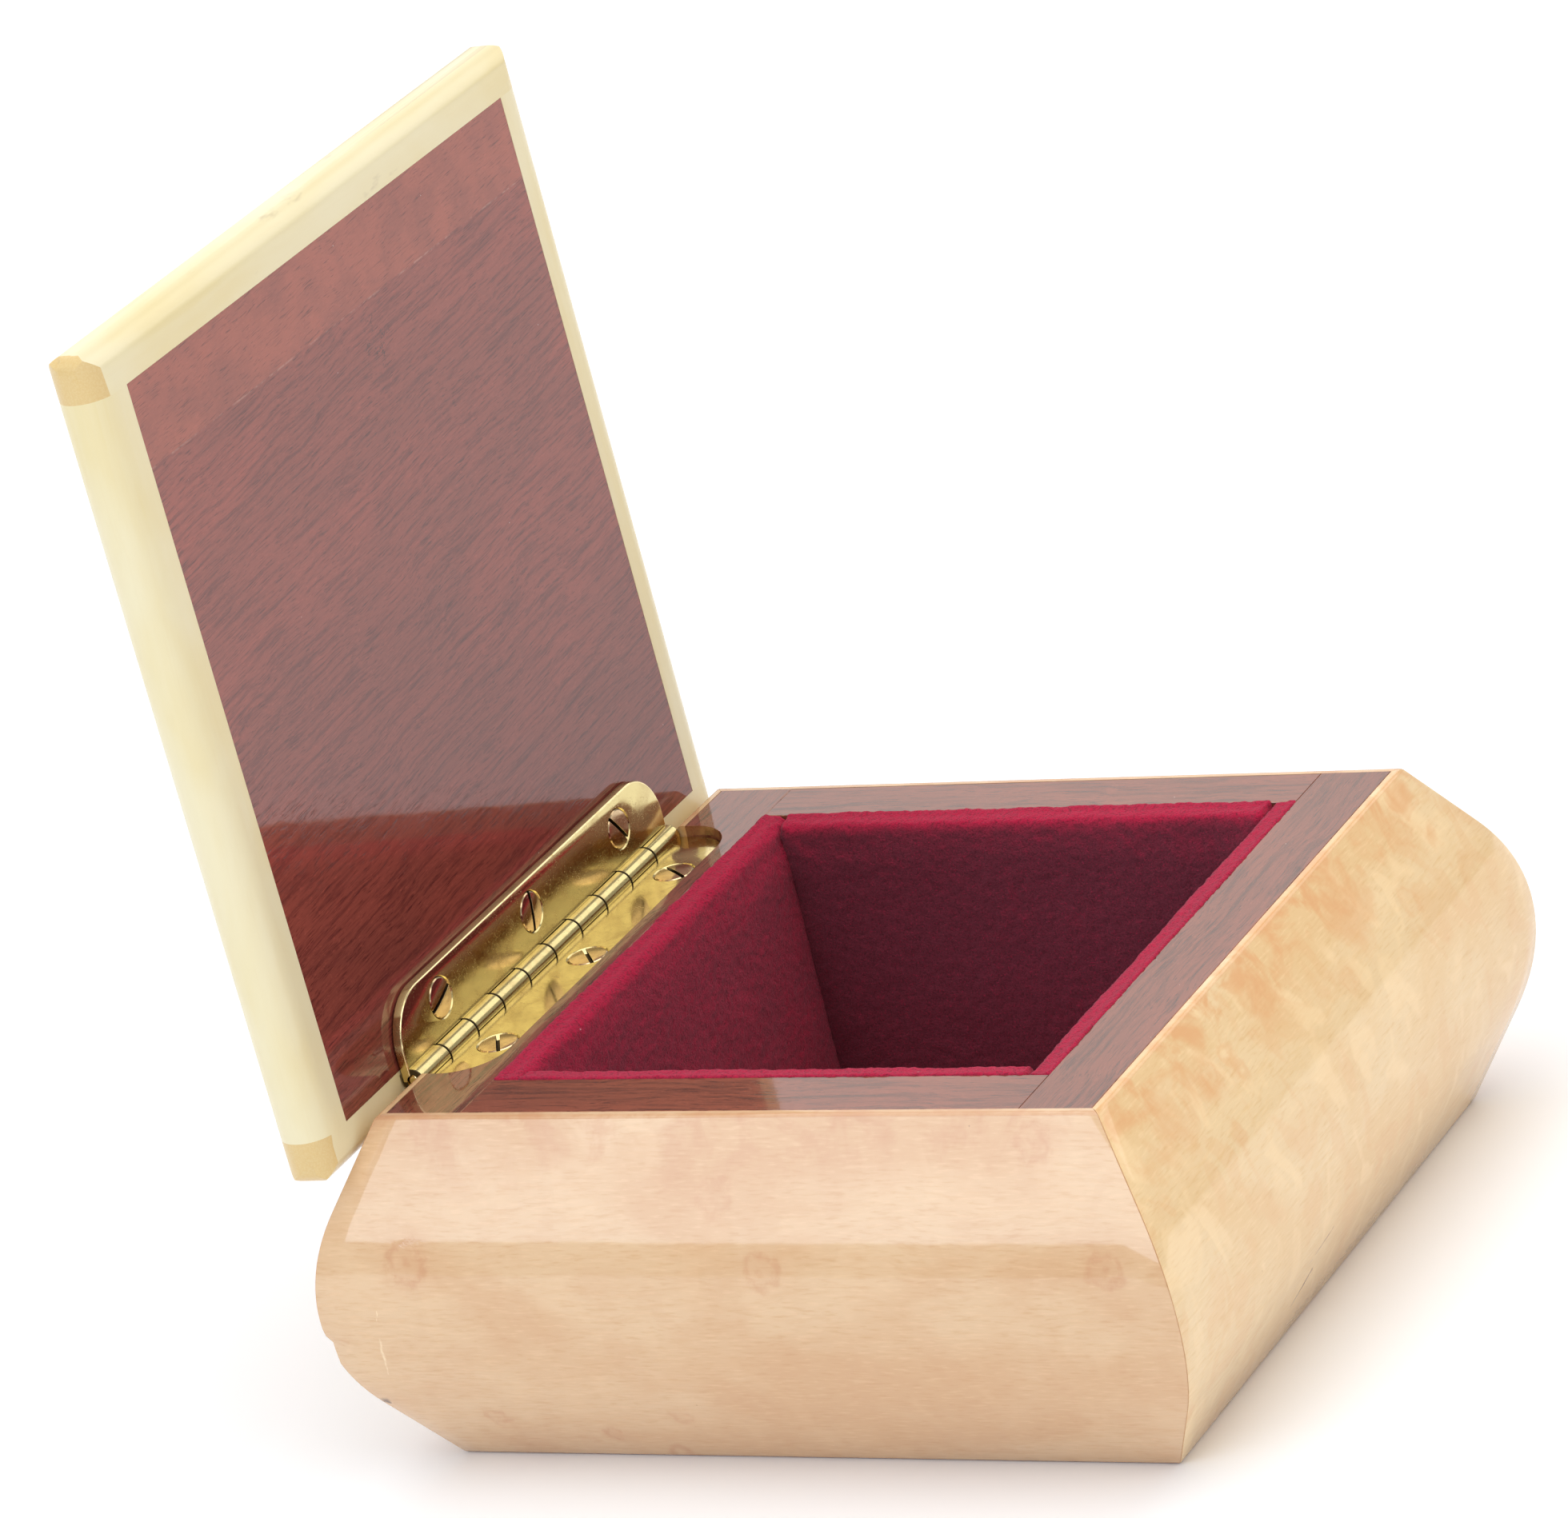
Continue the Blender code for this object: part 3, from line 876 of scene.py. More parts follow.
@dataclass(frozen=True)
class MahoganyFinish(Finish):
    """French-polished mahogany. The grain runs along the pattern's own X."""

    name: str
    dark: Colour
    mid: Colour
    red: Colour
    turn: tuple[float, float, float] = (0, 0, 0)
    pore_length: float = 12.0
    fineness: float = 0.8
    wander: float = 0.35
    streak: float = 0.78
    seam: float | None = None
    # painted reflection: how much paler the lid panel is painted towards its top
    painted_reflection_tint: Colour = (1.25, 1.3, 1.3)
    tear: tuple[float, float, float] = (0, 0, 0)

    def shade(self, graph: Graph, shader: bpy.types.Node) -> None:
        """Lay streaks, pores and, on the lid, a painted reflection that pales the panel towards its
        top and the joint of two boards over each other.

        Args:
            graph: The material's graph.
            shader: Its shader.
        """
        plain, board = graph.place(), graph.place(self.turn)
        grain = graph.use(
            wood_grain(), Vector=board, Length=self.pore_length, Fineness=self.fineness,
            Wander=self.wander,
        )
        colour = graph.mix(graph.step(grain.outputs["Cloud"], 0.3, 0.7), self.mid, self.red)
        broad = graph.times(graph.step(grain.outputs["Streaks"], 0.42, 0.68), self.streak)
        colour = graph.mix(broad, colour, self.dark)
        if self.seam is not None:
            # painted reflection: the lid panel is painted paler towards its top, standing in for
            # the lacquer's reflection
            lift = graph.part(plain, 2)
            painted_reflection_share = graph.times(graph.step(lift, 40.0, 105.0), 0.8)
            paler = graph.mix(1.0, colour, self.painted_reflection_tint, "MULTIPLY")
            colour = graph.mix(painted_reflection_share, colour, paler)
            colour = self.joined(graph, plain, board, colour)
        pore = graph.times(grain.outputs["Pores"], 0.6)
        colour = graph.mix(pore, colour, tuple(c * 0.45 for c in self.dark))
        glint = graph.use(
            wood_grain(), Vector=graph.vector("ADD", board, (31.0, 17.0, 9.0)), Length=5.0,
            Fineness=1.3,
        ).outputs["Pores"]
        colour = graph.lay(colour, tuple(min(1, c * 2.4) for c in self.red), glint, 0.16)
        edge = graph.edge()
        worn = graph.use(worn_edges(), Vector=plain, Edge=edge, Amount=0.75).outputs[0]
        colour = graph.lay(colour, (0.45, 0.2, 0.1), worn, 0.5)
        dust = graph.use(specks(), Vector=plain, Spacing=3.2, Share=0.3, Size=0.1).outputs[0]
        colour = graph.lay(colour, (0.75, 0.6, 0.55), dust, 0.5)
        graph.feed(shader.inputs["Base Color"], colour)

        wave = graph.times(graph.noise(plain, 0.11, 2, 0.5), 0.5)
        sunk = graph.sum("MULTIPLY_ADD", grain.outputs["Pores"], -0.05, wave)
        sunk = graph.sum("MULTIPLY_ADD", graph.noise(plain, 1.3, 2), 0.03, sunk)
        self.relief(graph, shader, sunk, 0.1 * MM, 0.4)
        scuff = graph.use(scratches(), Vector=plain, Amount=0.35).outputs[0]
        rough = graph.sum("MULTIPLY_ADD", graph.noise(plain, 0.4, 3), 0.04, 0.028)
        graph.feed(shader.inputs["Roughness"], graph.sum("MULTIPLY_ADD", scuff, 0.12, rough))
        shader.inputs["IOR"].default_value = 1.62

    def joined(self, graph: Graph, plain: Socket, board: Socket, colour: Socket) -> Socket:
        """Set a redder board beyond a straight joint.

        Args:
            graph: The material's graph.
            plain: Upright coordinates in millimetres.
            board: Coordinates along the grain.
            colour: The main board's colour.

        Returns:
            The colour of both boards and the joint.
        """
        height = graph.part(plain, 2)
        beyond = graph.step(height, self.seam, self.seam + 0.15)
        cloud = graph.step(graph.noise(board, 0.2, 3, 0.6), 0.35, 0.65)
        redder = graph.mix(cloud, (0.37, 0.095, 0.058), (0.29, 0.075, 0.048))
        colour = graph.lay(colour, redder, beyond, 0.85)
        off = graph.sum("ABSOLUTE", graph.sum("SUBTRACT", height, self.seam))
        line = graph.fall(off, 0.03, 0.16)
        broken = graph.step(graph.noise(plain, 0.35, 3, 0.7), 0.42, 0.6)
        pale = graph.times(graph.times(line, broken), 0.4)
        colour = graph.mix(pale, colour, (0.55, 0.3, 0.22))
        reach = graph.apart(plain, self.tear)
        close = graph.fall(reach, 1.0, 5.0)
        torn = graph.step(
            graph.noise(graph.vector("MULTIPLY", board, (0.6, 1, 1)), 1.7, 3, 0.7), 0.58, 0.64,
        )
        return graph.lay(colour, (0.02, 0.008, 0.007), close, torn)


@dataclass(frozen=True)
class HollyFinish(Finish):
    """Pale, close-grained holly under a thin varnish, with end grain where a strip ends."""

    name: str
    pale: Colour = (0.80, 0.715, 0.475)
    deep: Colour = (0.77, 0.65, 0.36)
    end: Colour = (0.69, 0.485, 0.205)
    turn: tuple[float, float, float] = (0, 0, 0)
    end_grain: float = 0.0
    smudges: float = 0.0

    def shade(self, graph: Graph, shader: bpy.types.Node) -> None:
        """Lay slow clouds, faint streaks, end grain and grey smudges over each other.

        Args:
            graph: The material's graph.
            shader: Its shader.
        """
        plain, board = graph.place(), graph.place(self.turn)
        grain = graph.use(wood_grain(), Vector=board, Length=40.0, Fineness=0.7, Wander=0.1)
        colour = graph.mix(graph.step(grain.outputs["Cloud"], 0.32, 0.66), self.pale, self.deep)
        streak = graph.times(graph.step(grain.outputs["Streaks"], 0.45, 0.75), 0.4)
        colour = graph.mix(streak, colour, self.pale)
        colour = graph.lay(colour, self.end, grain.outputs["Pores"], 0.05)
        facing = graph.add("NewGeometry").outputs["Normal"]
        across = graph.sum("ABSOLUTE", graph.part(facing, 1))
        dots = graph.noise(plain, 5.0, 2, 0.6)
        raw = graph.lay(self.end, self.deep, graph.step(dots, 0.35, 0.7), 0.25)
        cut = graph.times(graph.step(across, 0.30, 0.36), self.end_grain)
        colour = graph.mix(cut, colour, raw)
        smoky = graph.step(
            graph.noise(graph.vector("MULTIPLY", board, (0.35, 1, 1)), 0.22, 4, 0.7), 0.62, 0.74,
        )
        colour = graph.lay(colour, (0.36, 0.27, 0.17), smoky, self.smudges)
        dirt = graph.use(specks(), Vector=plain, Spacing=7.0, Share=0.35, Size=0.3).outputs[0]
        colour = graph.lay(colour, (0.45, 0.24, 0.1), dirt, 0.3)
        edge = graph.edge()
        worn = graph.use(worn_edges(), Vector=plain, Edge=edge, Amount=0.6).outputs[0]
        colour = graph.lay(colour, self.end, worn, 0.35)
        graph.feed(shader.inputs["Base Color"], colour)
        height = graph.sum(
            "MULTIPLY_ADD", grain.outputs["Streaks"], 0.04,
            graph.times(graph.noise(plain, 0.12, 2), 0.5),
        )
        self.relief(graph, shader, height, 0.08 * MM, 0.4)
        rough = graph.sum("MULTIPLY_ADD", grain.outputs["Streaks"], 0.06, 0.2)
        graph.feed(shader.inputs["Roughness"], rough)
        shader.inputs["IOR"].default_value = 1.5


@dataclass(frozen=True)
class VelvetFinish(Finish):
    """Cut-pile velvet with painted sheen and shade: brighter on faces turned up and towards +X,
    darker on the others.
    """

    name: str
    # painted shade and sheen: faces turned away from the fixed direction below take the dark
    # colour, faces turned towards it the bright pile colour
    shaded_base: Colour = (0.175, 0.033, 0.053)
    pile: Colour = (0.46, 0.011, 0.049)
    painted_light_towards: tuple[float, float, float] = (0.46, -0.1, 0.88)

    def shade(self, graph: Graph, shader: bpy.types.Node) -> None:
        """Lay painted sheen and shade by facing, brushed patches, tufts, bright fibres and lint
        over each other.

        Args:
            graph: The material's graph.
            shader: Its shader.
        """
        plain = graph.place()
        facing = graph.add("NewGeometry").outputs["Normal"]
        # painted light: how far each face turns towards a fixed direction sets its brightness,
        # painted sheen on the tops and the left pad, painted shade on the back, front and right
        # pads
        lit_facing = graph.dot(facing, self.painted_light_towards)
        brushed = graph.sum("SUBTRACT", graph.noise(plain, 0.14, 3, 0.6, 0.8), 0.5)
        painted_light_share = graph.sum("MULTIPLY_ADD", brushed, 0.35, lit_facing)
        colour = graph.mix(graph.step(painted_light_share, 0.05, 0.95), self.shaded_base, self.pile)
        tuft = graph.noise(plain, 3.2, 3, 0.75)
        shade = graph.times(graph.step(tuft, 0.56, 0.3), 0.72)
        colour = graph.mix(shade, colour, tuple(c * 0.45 for c in self.shaded_base))
        fibre = graph.noise(plain, 4.6, 2, 0.8)
        colour = graph.lay(colour, (0.5, 0.025, 0.08), graph.step(fibre, 0.56, 0.7), 0.62)
        lint = graph.use(specks(), Vector=plain, Spacing=2.2, Share=0.3, Size=0.2).outputs[0]
        lint = graph.times(lint, graph.step(lit_facing, 0.5, 0.85))
        colour = graph.lay(colour, (0.8, 0.5, 0.52), lint, 0.6)
        graph.feed(shader.inputs["Base Color"], colour)
        deep = graph.sum("MULTIPLY_ADD", fibre, 0.6, tuft)
        self.relief(graph, shader, deep, 0.3 * MM, 0.7)
        shader.inputs["Roughness"].default_value = 0.95
        shader.inputs["Specular IOR Level"].default_value = 0.1
        shader.inputs["Sheen Weight"].default_value = 0.38
        shader.inputs["Sheen Roughness"].default_value = 0.45
        shader.inputs["Sheen Tint"].default_value = (0.9, 0.32, 0.4, 1.0)


@dataclass(frozen=True)
class BrassFinish(Finish):
    """Old polished brass with scratches, dull patches and bright edges."""

    name: str
    clean: Colour = (0.73, 0.605, 0.285)
    tarnish: Colour = (0.46, 0.30, 0.12)
    dullness: float = 0.35
    roughness: float = 0.12

    def shade(self, graph: Graph, shader: bpy.types.Node) -> None:
        """Lay dull patches, spots, scratches, bright edges and near-black hollows of dirt and
        painted shade over each other.

        Args:
            graph: The material's graph.
            shader: Its shader.
        """
        plain = graph.place()
        patch = graph.step(graph.noise(plain, 0.3, 4, 0.65, 0.5), 0.42, 0.72)
        colour = graph.lay(self.clean, self.tarnish, patch, self.dullness)
        spot = graph.use(specks(), Vector=plain, Spacing=1.3, Share=0.35, Size=0.12).outputs[0]
        colour = graph.lay(colour, tuple(c * 0.4 for c in self.tarnish), spot, 0.5)
        edge = graph.edge()
        worn = graph.use(worn_edges(), Vector=plain, Edge=edge, Amount=0.9).outputs[0]
        colour = graph.mix(worn, colour, (0.95, 0.78, 0.42))
        # dirt and painted shade: knuckle ends and screw slots, marked -1, are painted near black
        dirt_and_shade = graph.sum("MULTIPLY", edge, -0.92, clamp=True)
        colour = graph.mix(dirt_and_shade, colour, (0.045, 0.028, 0.015))
        graph.feed(shader.inputs["Base Color"], colour)
        mark = graph.use(scratches(), Vector=plain, Amount=0.75).outputs[0]
        brush = graph.noise(graph.vector("MULTIPLY", plain, (3.0, 0.25, 3.0)), 1.2, 3)
        rough = graph.sum("MULTIPLY_ADD", patch, 0.1, self.roughness)
        rough = graph.sum("MULTIPLY_ADD", dirt_and_shade, 0.4, rough)
        graph.feed(shader.inputs["Roughness"], graph.sum("MULTIPLY_ADD", mark, 0.12, rough))
        height = graph.sum("MULTIPLY_ADD", mark, -0.2, graph.times(brush, 0.12))
        height = graph.sum("ADD", height, graph.noise(plain, 0.22, 2))
        self.relief(graph, shader, height, 0.03 * MM, 0.3)
        shader.inputs["Metallic"].default_value = 1.0


@dataclass(frozen=True)
class BoardFinish(Finish):
    """Bare board or ply: fibres, layers and dust, for what lies under the show surfaces."""

    name: str
    pale: Colour
    dark: Colour
    layers: float = 0.0

    def shade(self, graph: Graph, shader: bpy.types.Node) -> None:
        """Lay fibres and layers over each other.

        Args:
            graph: The material's graph.
            shader: Its shader.
        """
        plain = graph.place()
        fibre = graph.noise(graph.vector("MULTIPLY", plain, (1.0, 0.25, 1.0)), 2.0, 4, 0.7)
        colour = graph.mix(graph.step(fibre, 0.35, 0.7), self.pale, self.dark)
        stack = graph.add(
            "TexWave", {"Vector": plain, "Scale": 0.35, "Distortion": 0.6}, bands_direction="X",
        )
        colour = graph.lay(colour, self.dark, stack.outputs["Fac"], self.layers)
        graph.feed(shader.inputs["Base Color"], colour)
        self.relief(graph, shader, fibre, 0.1 * MM, 0.5)
        graph.feed(shader.inputs["Roughness"], graph.sum("MULTIPLY_ADD", fibre, 0.2, 0.65))


@dataclass(frozen=True)
class FloorFinish(Finish):
    """The studio's matt white floor."""

    name: str = "studio_floor"
    white: Colour = (0.93, 0.93, 0.935)

    def shade(self, graph: Graph, shader: bpy.types.Node) -> None:
        """Set a plain matt white."""
        shader.inputs["Base Color"].default_value = (*self.white, 1.0)
        shader.inputs["Roughness"].default_value = 0.9


class Finishes:
    """The box's own finishes, each given once."""

    FILLER = (0.86, 0.66, 0.42)
    CRACK = (0.22, 0.08, 0.03)
    FRONT_MAPLE = MapleFinish(
        "maple_front", pale=(0.72, 0.495, 0.295), warm=(0.66, 0.41, 0.225),
        flame=(0.54, 0.24, 0.12),
        eye_spacing=17.0, eye_share=0.35, eye_size=1.3, quilt=0.12, flame_from=33.0,
        flame_share=0.4,
        eyes=(
            Eye((-40.0, -49.7, 27.4), 2.1, 0.5), Eye((4.0, -49.9, 26.7), 1.7, 0.42),
            Eye((36.5, -43.8, 38.6), 1.9, 0.4), Eye((-1.5, -46.7, 33.7), 1.9, 0.3),
            Eye((-23.0, -44.3, 4.2), 1.1, 0.5), Eye((-36.0, -45.8, 6.8), 1.3, 0.4),
            Eye((-12.6, -46.1, 7.3), 1.2, 0.3), Eye((44.8, -49.9, 26.8), 1.6, 0.42),
        ),
        cracks=(
            Crack((-45.7, -50.3, 15.8), (-44.7, -50.7, 22.0), 0.26, FILLER),
            Crack((-45.7, -50.3, 15.8), (-46.2, -49.6, 12.8), 0.26, FILLER),
            Crack((-48.7, -47.9, 9.3), (-48.2, -47.4, 8.9), 0.75, (0.16, 0.09, 0.06)),
        ),
    )
    RIGHT_MAPLE = MapleFinish(
        "maple_right", pale=(0.80, 0.59, 0.335), warm=(0.765, 0.52, 0.26),
        flame=(0.73, 0.38, 0.165),
        turn=(0, 0, 90), eye_spacing=9.5, eye_share=0.55, eye_size=1.1, quilt=0.42,
        flame_from=31.0, flame_share=0.85,
        eyes=(
            Eye((46.2, 34.0, 37.5), 1.7, 0.5), Eye((46.4, 17.0, 37.2), 1.6, 0.5),
            Eye((46.6, -7.0, 36.8), 1.5, 0.45), Eye((47.0, -23.0, 36.0), 1.6, 0.5),
            Eye((49.2, 8.0, 31.5), 1.4, 0.35), Eye((49.0, 27.0, 32.0), 1.5, 0.35),
        ),
        cracks=(
            Crack((49.8, -8.6, 10.4), (49.2, -14.4, 8.9), 0.25, CRACK),
            Crack((47.9, -12.2, 7.1), (46.6, -16.2, 4.4), 0.45, CRACK),
        ),
    )
    BACK_MAPLE = MapleFinish(
        "maple_back", pale=(0.70, 0.46, 0.25), warm=(0.63, 0.37, 0.185), flame=(0.52, 0.22, 0.1),
        eye_spacing=11.0, eye_share=0.7, quilt=0.26,
    )
    LEFT_MAPLE = MapleFinish(
        "maple_left", pale=(0.73, 0.49, 0.255), warm=(0.65, 0.38, 0.18), flame=(0.54, 0.22, 0.095),
        turn=(0, 0, 90), eye_spacing=9.5, eye_share=0.8, eye_size=1.3, quilt=0.28, flame_share=0.35,
    )
    LID_MAPLE = MapleFinish(
        "maple_lid", pale=(0.74, 0.50, 0.27), warm=(0.66, 0.39, 0.2), flame=(0.54, 0.23, 0.105),
        turn=(0, 0, 90), eye_spacing=7.5, eye_share=0.9, eye_size=1.2, quilt=0.3, flame_from=300.0,
    )
    RIM_ALONG_X = MahoganyFinish(
        "mahogany_across", dark=(0.085, 0.027, 0.016), mid=(0.20, 0.058, 0.032),
        red=(0.25, 0.066, 0.035),
        pore_length=16.0, fineness=1.0,
    )
    RIM_ALONG_Y = MahoganyFinish(
        "mahogany_along", dark=(0.08, 0.027, 0.016), mid=(0.19, 0.056, 0.032),
        red=(0.235, 0.064, 0.035),
        turn=(0, 0, 90), pore_length=16.0, fineness=1.0,
    )
    LID_MAHOGANY = MahoganyFinish(
        "mahogany_lid", dark=(0.095, 0.022, 0.018), mid=(0.205, 0.050, 0.035),
        red=(0.26, 0.058, 0.04),
        turn=(0, -4, 90), pore_length=22.0, fineness=1.9, wander=0.22, streak=0.68, seam=118.8,
        tear=(-46.9, 4.0, 114.0),
    )
    HOLLY_ALONG_Y = HollyFinish("holly_along", turn=(0, 0, 90), end_grain=1.0, smudges=0.35)
    HOLLY_UPRIGHT = HollyFinish("holly_upright", turn=(0, 90, 0), end_grain=0.0, smudges=0.05)
    VELVET = VelvetFinish("crimson_velvet")
    BRASS = BrassFinish("hinge_brass")
    SCREW = BrassFinish(
        "screw_brass_old", clean=(0.72, 0.53, 0.31), tarnish=(0.34, 0.21, 0.12), dullness=0.5,
        roughness=0.12,
    )
    CARD = BoardFinish("grey_card", pale=(0.34, 0.29, 0.22), dark=(0.22, 0.18, 0.13))
    PLYWOOD = BoardFinish("birch_ply", pale=(0.58, 0.42, 0.26), dark=(0.4, 0.26, 0.14), layers=0.6)


@dataclass(frozen=True)
class Piece:
    """What a finished mesh is called, what it rides on and stands for, and its finish."""

    name: str
    body: Body
    slot: Slot
    finish: Finish
    stands_for: tuple[str, ...] = ()
    smooth: float = 32.0

    def make(self, bm: bmesh.types.BMesh) -> bpy.types.Object:
        """Turn a mesh in the row frame into the piece, which empties the bmesh.

        Args:
            bm: The finished shape.

        Returns:
            The piece's object.
        """
        mesh = bpy.data.meshes.new(self.name)
        bm.to_mesh(mesh)
        bm.free()
        mesh.shade_smooth()
        mesh.set_sharp_from_angle(angle=math.radians(self.smooth))
        made = bpy.data.objects.new(self.name, mesh)
        mesh.materials.clear()
        mesh.materials.append(self.finish.material())
        bpy.context.scene.collection.objects.link(made)
        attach(made, self.body.value)
        if self.stands_for:
            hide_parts(*self.stands_for)
        LOG.info("%s: %d faces, rides on %s", self.name, len(mesh.polygons), self.body.value)
        return made


def dress(frame: dict, node: str, finish: Finish) -> None:
    """Give a CAD node that stays in view its finish.

    Args:
        node: The node's name.
        finish: The finish that it takes.
    """
    obj = frame["nodes"][node]
    obj.data.materials.clear()
    obj.data.materials.append(finish.material())
    LOG.info("%s: kept, dressed as %s", node, finish.name)


# ---------------------------------------------------------------- the hinge's places


@dataclass(frozen=True)
class HingeFrame:
    """Where the hinge axis is, and how far the lid stands open at rest."""

    axis: Vector
    opening: float

    @classmethod
    def read(cls, frame: dict) -> "HingeFrame":
        """Read the one joint of the record."""
        joint = frame["joints"][0]
        return cls(Vector(joint["pos_m"]), math.radians(-joint["range_deg"][0]))

    @property
    def fixed(self) -> Matrix:
        """From the hinge's own axes to the row frame, for what is on the base."""
        return Matrix.Translation(self.axis)

    @property
    def swung(self) -> Matrix:
        """From the hinge's own axes to the row frame, for what is on the lid."""
        return Matrix.Translation(self.axis) @ Matrix.Rotation(-self.opening, 4, "Y")


@dataclass
class Hinge:
    """A brass butt hinge: two leaves with rolled knuckles, a pin and six screws."""

    place: HingeFrame
    length: float = 63.5 * MM
    barrel: float = 1.45 * MM
    pin: float = 0.7 * MM
    pin_ease: float = 0.3 * MM
    bore_play: float = 0.07 * MM
    notch_play: float = 0.08 * MM
    knuckles: int = 10
    knuckle_gap: float = 0.14 * MM
    knuckle_ease: float = 0.12 * MM
    leaf_width: float = 9.2 * MM
    leaf_thickness: float = 1.05 * MM
    parting: float = 0.15 * MM
    corner: float = 6.0 * MM
    corner_steps: int = 14
    border_ease: float = 0.2 * MM
    clearance: float = 0.3 * MM
    screw_reach: float = 5.5 * MM
    screw_pitch: float = 21.9 * MM
    head: float = 2.3 * MM
    head_depth: float = 0.9 * MM
    shank: float = 0.85 * MM
    dome: float = 0.13 * MM
    slot_width: float = 0.45 * MM
    slot_depth: float = 0.45 * MM
    slot_ease: float = 0.05 * MM
    hole_play: float = 0.09 * MM
    hole_bevel: float = 0.12 * MM
    lower_length: float = 8.0 * MM
    upper_length: float = 5.6 * MM
    pocket_play: float = 0.15 * MM
    pocket_depth: float = 0.05 * MM
    lower_slots: dict[str, float] = field(
        default_factory=lambda: {"front": 151, "middle": 140, "back": 125},
    )
    upper_slots: dict[str, float] = field(
        default_factory=lambda: {"front": 20, "middle": 79, "back": 127},
    )

    def build(self) -> None:
        """Make every piece of the hinge."""
        flipped = self.place.swung @ Matrix.Scale(-1, 4, (0, 0, 1))
        for name, first, body, matrix in (
            ("lower_leaf", 1, Body.BASE, self.place.fixed),
            ("upper_leaf", 0, Body.LID, flipped),
        ):
            bm = moved(self.leaf(first), matrix)
            Piece(f"{name}_brass", body, Slot.BRASS, Finishes.BRASS, (name,), smooth=18).make(bm)
        self.make_pin()
        for place, degrees in self.lower_slots.items():
            self.make_screw("lower", place, degrees, self.lower_length)
        for place, degrees in self.upper_slots.items():
            self.make_screw("upper", place, degrees, self.upper_length)

    def plate(self) -> bmesh.types.BMesh:
        """Make a leaf's flat plate, lying along +X just below the axis.

        Returns:
            The plate on the hinge's own axes.
        """
        half = self.length / 2
        top, foot = -self.parting, -self.parting - self.leaf_thickness
        bm = block((0, -half, foot), (self.leaf_width, half, top))
        uprights = [
            e for e in edges_where(bm, lambda p: near(p.x, self.leaf_width))
            if level(e, 1)
        ]
        ease(bm, uprights, self.corner, segments=self.corner_steps, worn=False)
        border = [
            e for e in edges_where(bm, lambda p: near(p.z, top))
            if not all(near(v.co.x, 0) for v in e.verts)
        ]
        ease(bm, border, self.border_ease, segments=3)
        return bm

    def leaf(self, first: int) -> bmesh.types.BMesh:
        """Make a leaf with its knuckles, bored for the pin and countersunk for its screws.

        Args:
            first: 0 or 1, the place of its first knuckle from the front.

        Returns:
            The leaf on the hinge's own axes.
        """
        pitch, half = self.length / self.knuckles, self.length / 2
        rings, gaps = [], []
        for number in range(self.knuckles):
            middle = (number + 0.5) * pitch - half
            if number % 2 == first:
                ring = rod(self.barrel, pitch - self.knuckle_gap, middle)
                caps = [e for e in ring.edges if level(e, 1)]
                ease(ring, caps, self.knuckle_ease, worn=False)
                ring.normal_update()
                # the knuckle ends take the hollow mark: dirt and painted shade in the gaps between
                # knuckles
                mark_dirt_and_shade(ring, [f for f in ring.faces if abs(f.normal.y) > 0.2])
                rings.append(ring)
            else:
                wide = self.barrel + self.notch_play
                deep = (pitch + self.knuckle_gap) / 2
                gaps.append(block((-wide, middle - deep, -wide), (wide, middle + deep, wide)))
        bm = carve(self.plate(), gaps)
        bm = carve(bm, rings, "UNION")
        holes = [rod(self.pin + self.bore_play, 2 * self.length, segments=32)]
        lip, throat = self.head + self.hole_play, self.shank + self.hole_play
        above, below, bevel = 1 * MM, -3 * MM, self.hole_bevel
        mouth = [
            (0.0, above), (lip + bevel, above), (lip + bevel, 0.02 * MM), (lip, -bevel),
            (throat, -self.head_depth - bevel), (throat, below), (0.0, below),
        ]
        for number in (-1, 0, 1):
            at = Matrix.Translation((self.screw_reach, number * self.screw_pitch, -self.parting))
            holes.append(moved(turned(mouth), at))
        return carve(bm, holes)

    def make_pin(self) -> None:
        """Make the pin, with a softly domed end in each mouth of the barrel."""
        bm = rod(self.pin, self.length - self.clearance, segments=32)
        caps = [e for e in bm.edges if level(e, 1)]
        ease(bm, caps, self.pin_ease, segments=4)
        bm = moved(bm, self.place.fixed)
        Piece("pin_brass", Body.BASE, Slot.BRASS, Finishes.BRASS, ("hinge_pin",)).make(bm)

    def make_screw(self, leaf: str, place: str, degrees: float, length: float) -> None:
        """Make one slotted countersunk screw.

        Args:
            leaf: "lower" or "upper".
            place: Which of the leaf's three holes it is in.
            degrees: Its slot's direction, from the pin towards the leaf's free edge.
            length: Its length.
        """
        facing = 1 if leaf == "upper" else -1
        outline = [
            (0.0, self.dome), (1.0 * MM, self.dome * 0.86), (1.8 * MM, self.dome * 0.5),
            (2.16 * MM, self.dome * 0.12), (self.head, -0.08 * MM), (self.head, -0.14 * MM),
            (self.shank, -self.head_depth - self.hole_bevel), (self.shank, 1.7 * MM - length),
            (0.0, -length),
        ]
        side = (self.head + MM, self.slot_width / 2)
        slot = block((-side[0], -side[1], -self.slot_depth), (*side, self.slot_depth))
